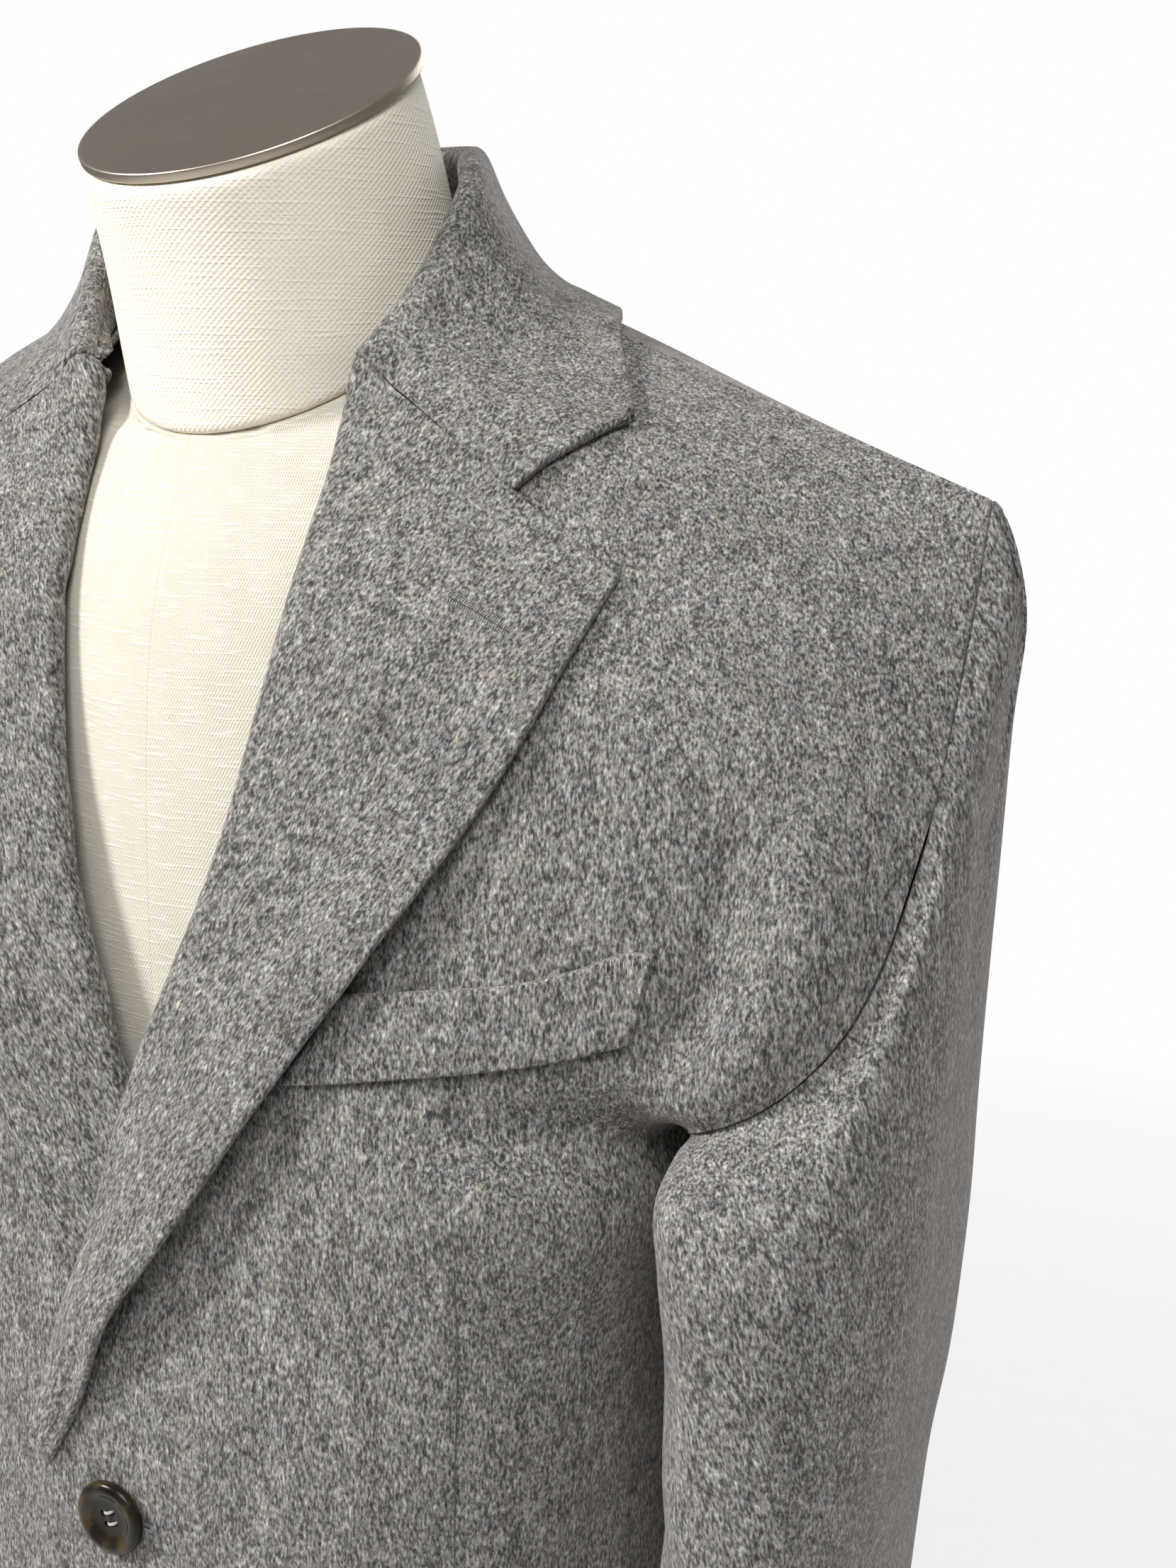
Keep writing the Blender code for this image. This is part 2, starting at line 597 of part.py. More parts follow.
def lapel_middle(right):
    """Middle surface of a lapel: a short return inside, the roll and the fall."""
    table = np.asarray(LAPEL)
    points, normals = FRONT_PANEL.grid(right)
    rows = np.concatenate([[BREAK_ROW], np.arange(4.5, GORGE_ROW + 0.1, 1.0 / ROW_STEPS)])
    first, last = 3 * ROW_STEPS, 13 * ROW_STEPS
    dense = fine_grid(points[first:last + 1], 6)
    dense_normals = unit(fine_grid(normals[first:last + 1], 6))
    half = LAPEL_CLOTH / 2
    radius = CLOTH / 2 + SEAM + half
    result = []
    for row in rows:
        index = row * ROW_STEPS
        edge = through_line(points[:, 0], index)
        inside = through_line(points[:, 1], index)
        normal = unit(through_line(normals[:, 0], index))
        away = unit(edge - inside)
        outer_x, outer_z, lift = read_table(table, [1, 2, 3], row)
        below = normal * (half + SEAM + CLOTH)
        line = [edge - away * 0.010 - below, edge - below]
        centre = edge - normal * CLOTH / 2 + away * 0.0008
        for turn in np.radians((20, 60, 90, 120, 160)):
            line.append(centre + radius * (away * math.sin(turn) - normal * math.cos(turn)))
        reach = min(1.0, math.hypot(outer_x - edge[0], outer_z - edge[2]) / 0.03)
        for share in np.linspace(0.0, 1.0, 7) ** 1.15:
            x = edge[0] + (outer_x - edge[0]) * share
            z = edge[2] + (outer_z - edge[2]) * share
            place, facing = on_panel(dense, dense_normals, x, z)
            roll = 0.0022 * math.sin(math.pi * min(share * 1.6, 1.0)) * reach
            line.append(place + facing * (half + SEAM + roll + lift * share ** 2))
        result.append(line)
    return np.array(result)


def make_lapels():
    """Lapels turned back over the fronts along the roll line."""
    for name, right in (("lapel_left", False), ("lapel_right", True)):
        middle = lapel_middle(right)
        normals = grid_normals(middle)
        outer = middle + normals * LAPEL_CLOTH / 2
        inner = middle - normals * LAPEL_CLOTH / 2
        if right:
            outer, inner = mirrored(outer), mirrored(inner)
        wall(name, worn(outer), worn(inner), "coat_wool")


def collar_station(position, gorge_points):
    """Middle line of the collar at one place: foot, stand, fold and fall."""
    table = np.asarray(COLLAR)
    row = through_rows(table, np.array(position))
    ahead = through_rows(table, np.array(min(position + 0.05, len(COLLAR) - 1.0)))
    behind = through_rows(table, np.array(max(position - 0.05, 0.0)))
    foot, fold, outer = row[0:3], row[3:6], row[6:9]
    tangent = unit(ahead[3:6] - behind[3:6])
    rise = unit(fold - (foot + outer) / 2)
    rise = unit(rise - tangent * np.dot(rise, tangent))
    outward = unit(np.cross(tangent, rise))
    if np.dot(outward, outer - foot) < 0:
        outward = -outward
    centre = fold - rise * (COLLAR_ROLL_RADIUS + LAPEL_CLOTH / 2)
    inside = centre - outward * COLLAR_ROLL_RADIUS
    outside = centre + outward * COLLAR_ROLL_RADIUS
    line = [foot + (inside - foot) * share for share in (0.0, 0.5)]
    for turn in np.radians((180, 135, 90, 45, 0)):
        line.append(centre + COLLAR_ROLL_RADIUS * (outward * math.cos(turn) + rise * math.sin(turn)))
    flat = outside + (outer - outside) * row[9]
    control = np.array([flat[0], flat[1], outside[2] + (outer[2] - outside[2]) * 0.74])
    end_blend = smooth_step((position - 4.4) / 1.6)
    for i, share in enumerate(np.linspace(0.0, 1.0, 7)[1:]):
        rest = 1.0 - share
        curve = rest ** 2 * outside + 2 * rest * share * control + share ** 2 * outer
        line.append(curve * (1 - end_blend) + gorge_points[i] * end_blend)
    return np.array(line)


def make_collar():
    """Collar: a stand round the neck, folded over, with its fall on the shoulders."""
    front, front_normals = (fine_grid(grid[7 * ROW_STEPS:], 6) for grid in FRONT_PANEL.grid())
    back, back_normals = (fine_grid(grid[9 * ROW_STEPS:], 6) for grid in BACK_PANEL.grid())
    front_normals = unit(front_normals)
    panel_points = np.concatenate([front.reshape(-1, 3), back.reshape(-1, 3)])
    panel_normals = unit(np.concatenate([front_normals.reshape(-1, 3), back_normals.reshape(-1, 3)]))
    join = np.array(FRONT[int(GORGE_ROW)][0:3])
    peak = np.array([LAPEL[-1][1], 0.0, LAPEL[-1][2]])
    notch = join + (peak - join) * NOTCH_SHARE
    gorge = []
    targets = [join + (notch - join) * share for share in (0.35, 0.7, 1.0)]
    targets += [notch + (np.array(COLLAR_CORNER) - notch) * share for share in (0.35, 0.7, 1.0)]
    for target in targets:
        place, facing = on_panel(front, front_normals, target[0], target[2] + 0.0012)
        gorge.append(place + facing * (SEAM + LAPEL_CLOTH / 2 + COLLAR_LIFT))
    stations = np.linspace(0.0, len(COLLAR) - 1.0, 17)
    half = np.array([collar_station(position, gorge) for position in stations])
    clearance = np.full(half.shape[:2], SEAM + LAPEL_CLOTH / 2 + COLLAR_LIFT)
    standing_off = 1.0 - smooth_step((stations - 4.0) / 1.2)
    clearance[:, 7:] += standing_off[:, None] * (0.005 - 0.004 * np.linspace(0.0, 1.0, 7)[1:])
    clearance[:, :7] = -1.0
    half = resting(half, panel_points, panel_normals, clearance)
    middle = np.concatenate([mirrored(half[:0:-1]), half], 0)
    normals = grid_normals(middle, flip=False)
    outer = middle + normals * LAPEL_CLOTH / 2
    inner = middle - normals * LAPEL_CLOTH / 2
    wall("collar", worn(outer), worn(inner), "coat_wool")


def make_welt():
    """Chest pocket welt, on the left front."""
    points, normals = FRONT_PANEL.grid()
    dense = fine_grid(points[5 * ROW_STEPS:11 * ROW_STEPS + 1], 6)
    dense_normals = unit(fine_grid(normals[5 * ROW_STEPS:11 * ROW_STEPS + 1], 6))
    outer = []
    inner = []
    for share in np.linspace(0.0, 1.0, 14):
        top_x, top_z, foot_x, foot_z = read_table(WELT, [1, 2, 3, 4], share)
        outer_line = []
        inner_line = []
        for down in np.linspace(0.0, 1.0, 4):
            x = top_x + (foot_x - top_x) * down
            z = top_z + (foot_z - top_z) * down
            place, facing = on_panel(dense, dense_normals, x, z)
            inner_line.append(place + facing * 3 * SEAM)
            outer_line.append(place + facing * (3 * SEAM + WELT_THICKNESS))
        outer.append(outer_line)
        inner.append(inner_line)
    wall("chest_welt", worn(np.array(outer)), worn(np.array(inner)), "coat_wool")


def make_buttons():
    """Buttons down the front: a dished disc with a raised rim and four holes."""
    points, normals = FRONT_PANEL.grid()
    dense = fine_grid(points[:6 * ROW_STEPS, :5], 8)
    dense_normals = unit(fine_grid(normals[:6 * ROW_STEPS, :5], 8))
    profile = (
        (0.0, 0.58), (0.48, 0.62), (0.66, 0.95), (0.80, 1.0), (0.93, 0.88), (1.0, 0.52),
        (0.96, 0.16), (0.84, 0.0), (0.0, 0.0),
    )
    for index, name in enumerate(("button_top", "button_middle", "button_lower")):
        place, facing = on_panel(dense, dense_normals, BUTTON_X, BUTTON_TOP_Z - index * BUTTON_STEP)
        mesh = bpy.data.meshes.new(name)
        work = bmesh.new()
        corners = [work.verts.new((r * BUTTON_RADIUS, 0.0, h * BUTTON_THICKNESS)) for r, h in profile]
        edges = [work.edges.new(pair) for pair in zip(corners, corners[1:])]
        bmesh.ops.spin(work, geom=corners + edges, cent=(0, 0, 0), axis=(0, 0, 1),
                       angle=2 * math.pi, steps=20, use_duplicate=False)
        bmesh.ops.remove_doubles(work, verts=work.verts, dist=1e-6)
        bmesh.ops.recalc_face_normals(work, faces=work.faces)
        work.to_mesh(mesh)
        work.free()
        mesh.shade_smooth()
        mesh.set_sharp_from_angle(angle=math.radians(50.0))
        mesh.materials.append(bpy.data.materials["button_horn"])
        item = bpy.data.objects.new(name, mesh)
        bpy.context.scene.collection.objects.link(item)
        item.rotation_mode = "QUATERNION"
        item.rotation_quaternion = Vector(facing).to_track_quat("Z", "Y")
        item.location = Vector(place + facing * 2 * SEAM)
        cutter = hole_cutter(name + "_holes")
        cutter.parent = item
        cut = item.modifiers.new("holes", "BOOLEAN")
        cut.object = cutter
        cut.operation = "DIFFERENCE"


def hole_cutter(name):
    """Four round bars that cut a button's holes."""
    mesh = bpy.data.meshes.new(name)
    work = bmesh.new()
    half = BUTTON_HOLE_SPACING / 2
    for x in (-half, half):
        for y in (-half, half):
            bar = bmesh.ops.create_cone(work, cap_ends=True, segments=6, radius1=BUTTON_HOLE_RADIUS,
                                        radius2=BUTTON_HOLE_RADIUS, depth=3 * BUTTON_THICKNESS)
            bmesh.ops.translate(work, verts=bar["verts"], vec=(x, y, 0.0))
    work.to_mesh(mesh)
    work.free()
    cutter = bpy.data.objects.new(name, mesh)
    cutter.hide_render = True
    cutter.display_type = "WIRE"
    bpy.context.scene.collection.objects.link(cutter)
    return cutter


# ---------------------------------------------------------------- dress form and stand
def form_rings(table, steps, count):
    """Rings of the dress form, each a rounded oval with its own slant."""
    angles = np.linspace(0.0, 2 * math.pi, count, endpoint=False)
    side = np.sin(angles)
    ahead = np.cos(angles)
    rings = []
    for position in np.linspace(0.0, len(table) - 1.0, (len(table) - 1) * steps + 1):
        row = through_rows(np.asarray(table, dtype=float), np.array(position))
        z_front, z_side, z_back, half_width, front, middle, back, pinch = row
        half_depth = np.where(ahead > 0, middle - front, back - middle)
        x = half_width * side
        y = middle - half_depth * (ahead * (1.0 - pinch) + np.sign(ahead) * ahead ** 4 * pinch)
        slant = np.where(ahead > 0, z_front - z_side, z_back - z_side)
        rings.append(np.stack([x, y, z_side + slant * np.abs(ahead)], -1))
    return np.array(rings)


def capped_rings(name, rings, material):
    """Closed body over rings, with a fan to a centre point at each end."""
    rows, columns = rings.shape[:2]
    vertices = list(rings.reshape(-1, 3)) + [rings[0].mean(0), rings[-1].mean(0)]
    faces = quad_faces(rows, columns, 0, closed=True)
    for c in range(columns):
        d = (c + 1) % columns
        faces.append((c, d, rows * columns))
        faces.append(((rows - 1) * columns + c, (rows - 1) * columns + d, rows * columns + 1))
    return new_object(name, vertices, faces, material)


def make_form():
    """Torso and neck of the dress form, which meet at the neck seam."""
    capped_rings("form_torso", form_rings(TORSO, 1, 36), "form_linen")
    neck = form_rings(NECK, 1, 36)
    neck[:, :, 2] += SEAM
    capped_rings("form_neck", neck, "form_linen")


def make_neck_cap():
    """Metal plate on the slanting top of the neck, with a rounded rim."""
    profile = ((0.0, 0.0), (0.975, 0.0), (1.0, 0.25), (1.0, 0.75), (0.985, 1.0), (0.0, 1.0))
    angles = np.linspace(0.0, 2 * math.pi, 40, endpoint=False)
    across = np.array([1.0, 0.0, 0.0])
    along = np.array([0.0, math.cos(CAP_TILT), math.sin(CAP_TILT)])
    up = np.array([0.0, -math.sin(CAP_TILT), math.cos(CAP_TILT)])
    foot = np.array(CAP_CENTRE) - up * CAP_THICKNESS / 2 + up * SEAM
    rings = []
    for radius, height in profile[1:-1]:
        ring = (foot + np.outer(np.cos(angles), across) * CAP_HALF_WIDTH * radius
                + np.outer(np.sin(angles), along) * CAP_HALF_DEPTH * radius
                + up * height * CAP_THICKNESS)
        rings.append(ring)
    capped_rings("neck_cap", np.array(rings), "brushed_steel")


def turned(name, profile, steps, material):
    """Body turned about the vertical through a profile of radius and height."""
    angles = np.linspace(0.0, 2 * math.pi, steps, endpoint=False)
    rings = [np.stack([r * np.cos(angles), r * np.sin(angles), np.full(steps, z)], -1)
             for r, z in profile]
    return capped_rings(name, np.array(rings), material)


def make_stand():
    """Round foot, pole and the flange under the torso."""
    edge = 0.003
    turned("stand_foot", (
        (BASE_RADIUS - edge, 0.0),
        (BASE_RADIUS, edge),
        (BASE_RADIUS, BASE_THICKNESS - edge),
        (BASE_RADIUS - edge, BASE_THICKNESS),
        (0.040, BASE_THICKNESS + 0.006),
        (0.028, BASE_THICKNESS + 0.012),
        (0.026, BASE_THICKNESS + 0.040),
        (0.023, BASE_THICKNESS + 0.043),
    ), 40, "brushed_steel")
    pole_foot = BASE_THICKNESS + 0.043 + SEAM
    pole_top = FORM_BOTTOM_Z - SEAM
    turned("stand_pole", (
        (POLE_RADIUS, pole_foot),
        (POLE_RADIUS, pole_top - FLANGE_THICKNESS - 0.02),
        (POLE_RADIUS + 0.004, pole_top - FLANGE_THICKNESS),
        (FLANGE_RADIUS - 0.002, pole_top - FLANGE_THICKNESS),
        (FLANGE_RADIUS, pole_top - FLANGE_THICKNESS + 0.002),
        (FLANGE_RADIUS, pole_top),
    ), 24, "brushed_steel")


def make_materials():
    """One Principled BSDF for each finish."""
    for name, (colour, roughness, metallic) in MATERIALS.items():
        material = bpy.data.materials.new(name)
        material.use_nodes = True
        shader = material.node_tree.nodes["Principled BSDF"]
        shader.inputs["Base Color"].default_value = (*colour, 1.0)
        shader.inputs["Roughness"].default_value = roughness
        shader.inputs["Metallic"].default_value = metallic


def main():
    """Clear the scene and build every piece."""
    for item in list(bpy.data.objects):
        bpy.data.objects.remove(item, do_unlink=True)
    make_materials()
    make_fronts()
    make_back()
    make_sleeves()
    make_lapels()
    make_collar()
    make_welt()
    make_buttons()
    make_form()
    make_neck_cap()
    make_stand()


main()
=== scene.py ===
"""Looks of a single-breasted wool overcoat on a linen dress form.

Every cloth piece is a thin shell on the form of its solid, with its creases pressed in.
Metres, +Z up; the coat's front faces -Y and the wearer's left is +X.
"""
from __future__ import annotations

import itertools
import logging
import math
from dataclasses import dataclass, field
from enum import Enum

import bmesh
import bpy
import numpy as np
from mathutils import Matrix, Vector
from mathutils.bvhtree import BVHTree
from mathutils.kdtree import KDTree


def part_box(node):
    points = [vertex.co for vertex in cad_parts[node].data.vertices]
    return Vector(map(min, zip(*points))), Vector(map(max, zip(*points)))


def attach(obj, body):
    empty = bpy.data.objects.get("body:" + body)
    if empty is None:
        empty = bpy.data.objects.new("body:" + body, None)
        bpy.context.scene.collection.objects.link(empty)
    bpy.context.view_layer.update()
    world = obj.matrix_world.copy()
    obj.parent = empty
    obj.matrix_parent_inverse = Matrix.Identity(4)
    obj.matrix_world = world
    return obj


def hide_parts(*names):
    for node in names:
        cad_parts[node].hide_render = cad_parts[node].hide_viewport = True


LOG = logging.getLogger("overcoat")
Point = tuple[float, float, float]
Colour = tuple[float, float, float]
Piece = bpy.types.Object
Material = bpy.types.Material
Node = bpy.types.Node
Socket = bpy.types.NodeSocket
Vert = bmesh.types.BMVert
Edge = bmesh.types.BMEdge
Face = bmesh.types.BMFace
SAME_PLACE = 2e-5                # vertices of a CAD mesh nearer than this are one
PULL_PASSES = 220                # how often a place that is pulled smooth is eased

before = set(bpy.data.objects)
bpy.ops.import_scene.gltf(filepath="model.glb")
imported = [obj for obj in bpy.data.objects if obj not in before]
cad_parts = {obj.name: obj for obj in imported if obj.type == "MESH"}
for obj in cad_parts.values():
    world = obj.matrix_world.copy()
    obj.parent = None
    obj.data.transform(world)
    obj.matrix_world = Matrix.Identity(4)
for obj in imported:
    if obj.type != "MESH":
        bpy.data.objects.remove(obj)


# ---------------------------------------------------------------- small helpers
def clear_selection() -> None:
    """Deselect everything and leave edit mode."""
    if bpy.context.object and bpy.context.object.mode != "OBJECT":
        bpy.ops.object.mode_set(mode="OBJECT")
    bpy.ops.object.select_all(action="DESELECT")


def make_active(piece: Piece) -> None:
    """Select one piece alone and make it the active one."""
    clear_selection()
    piece.select_set(True)
    bpy.context.view_layer.objects.active = piece


def apply_modifiers(piece: Piece) -> None:
    """Apply all the modifiers of a piece, in order."""
    make_active(piece)
    for modifier in list(piece.modifiers):
        bpy.ops.object.modifier_apply(modifier=modifier.name)


def settle_transform(piece: Piece) -> None:
    """Move a piece's place into its mesh, so that its object is at the origin."""
    make_active(piece)
    bpy.ops.object.transform_apply(location=True, rotation=True, scale=True)


def join_pieces(pieces: list[Piece], name: str) -> Piece:
    """Join several pieces into one.

    Args:
        pieces: the pieces; the first one keeps its materials first.
        name: the name of the joined piece.

    Returns:
        The joined piece.
    """
    make_active(pieces[0])
    for piece in pieces:
        piece.select_set(True)
    bpy.ops.object.join()
    joined = bpy.context.object
    joined.name = name
    settle_transform(joined)
    return joined


def coordinates(piece: Piece) -> np.ndarray:
    """Vertex places of a piece, one row each."""
    flat = np.empty(len(piece.data.vertices) * 3)
    piece.data.vertices.foreach_get("co", flat)
    return flat.reshape(-1, 3)


def vertex_normals(piece: Piece) -> np.ndarray:
    """Vertex normals of a piece, one row each."""
    flat = np.empty(len(piece.data.vertices) * 3)
    piece.data.vertex_normals.foreach_get("vector", flat)
    return flat.reshape(-1, 3)


def set_coordinates(piece: Piece, places: np.ndarray) -> None:
    """Write vertex places back to a piece."""
    piece.data.vertices.foreach_set("co", places.astype(float).ravel())
    piece.data.update()


def smooth_step(value: np.ndarray) -> np.ndarray:
    """Ease from 0 to 1 between 0 and 1."""
    value = np.clip(value, 0.0, 1.0)
    return value * value * (3.0 - 2.0 * value)


def surface_tree(piece: Piece) -> BVHTree:
    """Search tree over the faces of a piece."""
    mesh = piece.data
    return BVHTree.FromPolygons([v.co.copy() for v in mesh.vertices],
                                [tuple(p.vertices) for p in mesh.polygons])


def point_tree(places: list[Vector]) -> KDTree:
    """Search tree over places."""
    tree = KDTree(len(places))
    for i, place in enumerate(places):
        tree.insert(place, i)
    tree.balance()
    return tree


def new_object(name: str, data: object) -> Piece:
    """New object in the scene."""
    made = bpy.data.objects.new(name, data)
    bpy.context.scene.collection.objects.link(made)
    return made


def round_edges(piece: Piece, width: float, segments: int, angle: float) -> None:
    """Round the edges of a piece that turn more than an angle, in degrees."""
    bevel = piece.modifiers.new("rounded", "BEVEL")
    bevel.width = width
    bevel.segments = segments
    bevel.limit_method = "ANGLE"
    bevel.angle_limit = math.radians(angle)
    apply_modifiers(piece)


def swept_thread(name: str, kind: str, places: list[Point], radius: float,
                 resolution: int) -> Piece:
    """Round thread along places.

    Args:
        name: its name.
        kind: kind of its curve, POLY or NURBS.
        places: the curve's points.
        radius: the thread's radius.
        resolution: how finely it is rounded.

    Returns:
        The thread as a mesh.
    """
    curve = bpy.data.curves.new(name, "CURVE")
    curve.dimensions = "3D"
    curve.bevel_depth = radius
    curve.bevel_resolution = resolution
    spline = curve.splines.new(kind)
    spline.points.add(len(places) - 1)
    for point, place in zip(spline.points, places):
        point.co = (*place, 1.0)
    if kind == "NURBS":
        spline.use_endpoint_u = True
        spline.order_u = 4
    make_active(new_object(name, curve))
    bpy.ops.object.convert(target="MESH")
    return bpy.context.object


def finish_piece(piece: Piece, material: Material,
                 nodes: tuple[str, ...] = ()) -> Piece:
    """Give a piece its material and slot, and put it on the body.

    Args:
        piece: the finished piece.
        material: its only material.
        nodes: the CAD nodes that it stands for.

    Returns:
        The same piece.
    """
    piece.data.materials.clear()
    piece.data.materials.append(material)
    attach(piece, "root")
    if nodes:
        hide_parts(*nodes)
    LOG.info("%s: %d faces", piece.name, len(piece.data.polygons))
    return piece


# ---------------------------------------------------------------- node groups
@dataclass
class NodeBoard:
    """Adds and links nodes of one tree."""

    tree: bpy.types.NodeTree

    def node(self, kind: str, **settings: object) -> Node:
        """New node with its settings."""
        made = self.tree.nodes.new(kind)
        for key, value in settings.items():
            setattr(made, key, value)
        return made

    def link(self, source: Socket, target: Socket) -> None:
        """Link two sockets."""
        self.tree.links.new(source, target)

    def feed(self, target: Socket, value: object) -> None:
        """Link a socket to another, or set its value."""
        if isinstance(value, Socket):
            self.link(value, target)
        else:
            target.default_value = value

    def math(self, operation: str, *values: object) -> Socket:
        """Result of a Math node."""
        made = self.node("ShaderNodeMath", operation=operation)
        for socket, value in zip(made.inputs, values):
            self.feed(socket, value)
        return made.outputs[0]

    def times(self, value: object, factor: object, plus: object = None) -> Socket:
        """A value times a factor, plus a third value where there is one."""
        if plus is None:
            return self.math("MULTIPLY", value, factor)
        return self.math("MULTIPLY_ADD", value, factor, plus)

    def choose(self, share: Socket, first: Node, second: Node, output: Node) -> None:
        """Send a mix of two shaders to an output."""
        made = self.node("ShaderNodeMixShader")
        for socket, source in zip(made.inputs, (share, first.outputs[0], second.outputs[0])):
            self.link(source, socket)
        self.link(made.outputs[0], output.inputs[0])

    def noise(self, vector: object, scale: object, detail: float = 2.0,
              roughness: float = 0.5) -> Socket:
        """Value of a noise texture."""
        made = self.node("ShaderNodeTexNoise")
        self.feed(made.inputs["Vector"], vector)
        self.feed(made.inputs["Scale"], scale)
        made.inputs["Detail"].default_value = detail
        made.inputs["Roughness"].default_value = roughness
        return made.outputs["Fac"]

    def mapping(self, vector: object, rotation: Point = (0.0, 0.0, 0.0),
                stretch: Point = (1.0, 1.0, 1.0)) -> Socket:
        """Vector turned, then drawn out by a stretch along each axis."""
        made = self.node("ShaderNodeMapping", vector_type="TEXTURE")
        self.feed(made.inputs["Vector"], vector)
        made.inputs["Rotation"].default_value = rotation
        made.inputs["Scale"].default_value = stretch
        return made.outputs["Vector"]

    def ramp(self, value: object, stops: tuple[tuple[float, Colour], ...]) -> Socket:
        """Colour of a value along a ramp of colours."""
        made = self.node("ShaderNodeValToRGB")
        self.feed(made.inputs["Fac"], value)
        elements = made.color_ramp.elements
        while len(elements) < len(stops):
            elements.new(0.5)
        for element, (position, colour) in zip(elements, stops):
            element.position = position
            element.color = (*colour, 1.0)
        return made.outputs["Color"]

    def mix(self, share: object, first: object, second: object,
            blend: str = "MIX") -> Socket:
        """Mix of two colours."""
        made = self.node("ShaderNodeMix", data_type="RGBA", blend_type=blend)
        self.feed(made.inputs["Factor"], share)
        self.feed(made.inputs[6], first)
        self.feed(made.inputs[7], second)
        return made.outputs[2]


class Effect(Enum):
    """Shared effects, each built once as a node group."""

    FIBRES = "melange_fibres"
    WEAVE = "plain_weave"
    GRIME = "handling_marks"


def new_group(effect: Effect, inputs: tuple[tuple[str, str, float | None], ...],
              outputs: tuple[str, ...]) -> tuple[bpy.types.NodeTree, NodeBoard,
                                                 Node, Node]:
    """Empty node group with named sockets.

    Args:
        effect: which effect it is.
        inputs: name, socket type and value of each input.
        outputs: names of the outputs, all plain numbers.

    Returns:
        The group, its board, its input node and its output node.
    """
    group = bpy.data.node_groups.new(effect.value, "ShaderNodeTree")
    for name, kind, value in inputs:
        socket = group.interface.new_socket(name=name, in_out="INPUT", socket_type=kind)
        if value is not None:
            socket.default_value = value
    for name in outputs:
        group.interface.new_socket(name=name, in_out="OUTPUT", socket_type="NodeSocketFloat")
    board = NodeBoard(group)
    return group, board, board.node("NodeGroupInput"), board.node("NodeGroupOutput")


def build_fibres() -> None:
    """Mixed light and dark wool fibres: their shade and their relief."""
    _, board, given, put = new_group(
        Effect.FIBRES,
        (("Vector", "NodeSocketVector", None), ("Fibre Scale", "NodeSocketFloat", 900.0),
         ("Contrast", "NodeSocketFloat", 2.4)),
        ("Shade", "Relief"))
    vector, scale = given.outputs["Vector"], given.outputs["Fibre Scale"]
    fine = board.noise(vector, scale, 3.0, 0.62)
    cluster = board.noise(vector, board.times(scale, 0.42), 2.0, 0.55)
    mottle = board.noise(vector, board.times(scale, 0.11), 2.0, 0.5)
    mixed = board.times(mottle, 0.10, board.times(cluster, 0.24, board.times(fine, 0.66)))
    centred = board.math("SUBTRACT", mixed, 0.5)
    board.link(board.times(centred, given.outputs["Contrast"], 0.5), put.inputs["Shade"])
    board.link(board.times(fine, 0.65, board.times(cluster, 0.35)), put.inputs["Relief"])


def build_weave() -> None:
    """Plain weave on a map in metres: its height and the gaps between threads."""
    _, board, given, put = new_group(
        Effect.WEAVE,
        (("Vector", "NodeSocketVector", None), ("Pitch", "NodeSocketFloat", 0.0011)),
        ("Height", "Gap"))
    wobble = board.noise(given.outputs["Vector"], 140.0, 2.0)
    parts = board.node("ShaderNodeSeparateXYZ")
    board.link(given.outputs["Vector"], parts.inputs[0])
    waves = []
    for axis in ("X", "Y"):
        moved = board.times(wobble, 0.0011, parts.outputs[axis])
        turns = board.math("DIVIDE", moved, given.outputs["Pitch"])
        waves.append(board.math("SINE", board.times(turns, math.pi)))
    thin = board.math("MINIMUM", *(board.math("ABSOLUTE", wave) for wave in waves))
    gap = board.math("SUBTRACT", 1.0, board.math("MINIMUM", board.times(thin, 3.0), 1.0))
    board.link(board.times(board.times(*waves), 0.5, 0.5), put.inputs["Height"])
    board.link(gap, put.inputs["Gap"])


def build_grime() -> None:
    """Uneven handling marks on hard, polished pieces."""
    _, board, given, put = new_group(
        Effect.GRIME,
        (("Vector", "NodeSocketVector", None), ("Scale", "NodeSocketFloat", 40.0)), ("Mark",))
    vector, scale = given.outputs["Vector"], given.outputs["Scale"]
    broad = board.noise(vector, scale, 3.0)
    fine = board.noise(vector, board.times(scale, 9.0), 2.0)
    board.link(board.times(fine, 0.3, board.times(broad, 0.7)), put.inputs["Mark"])


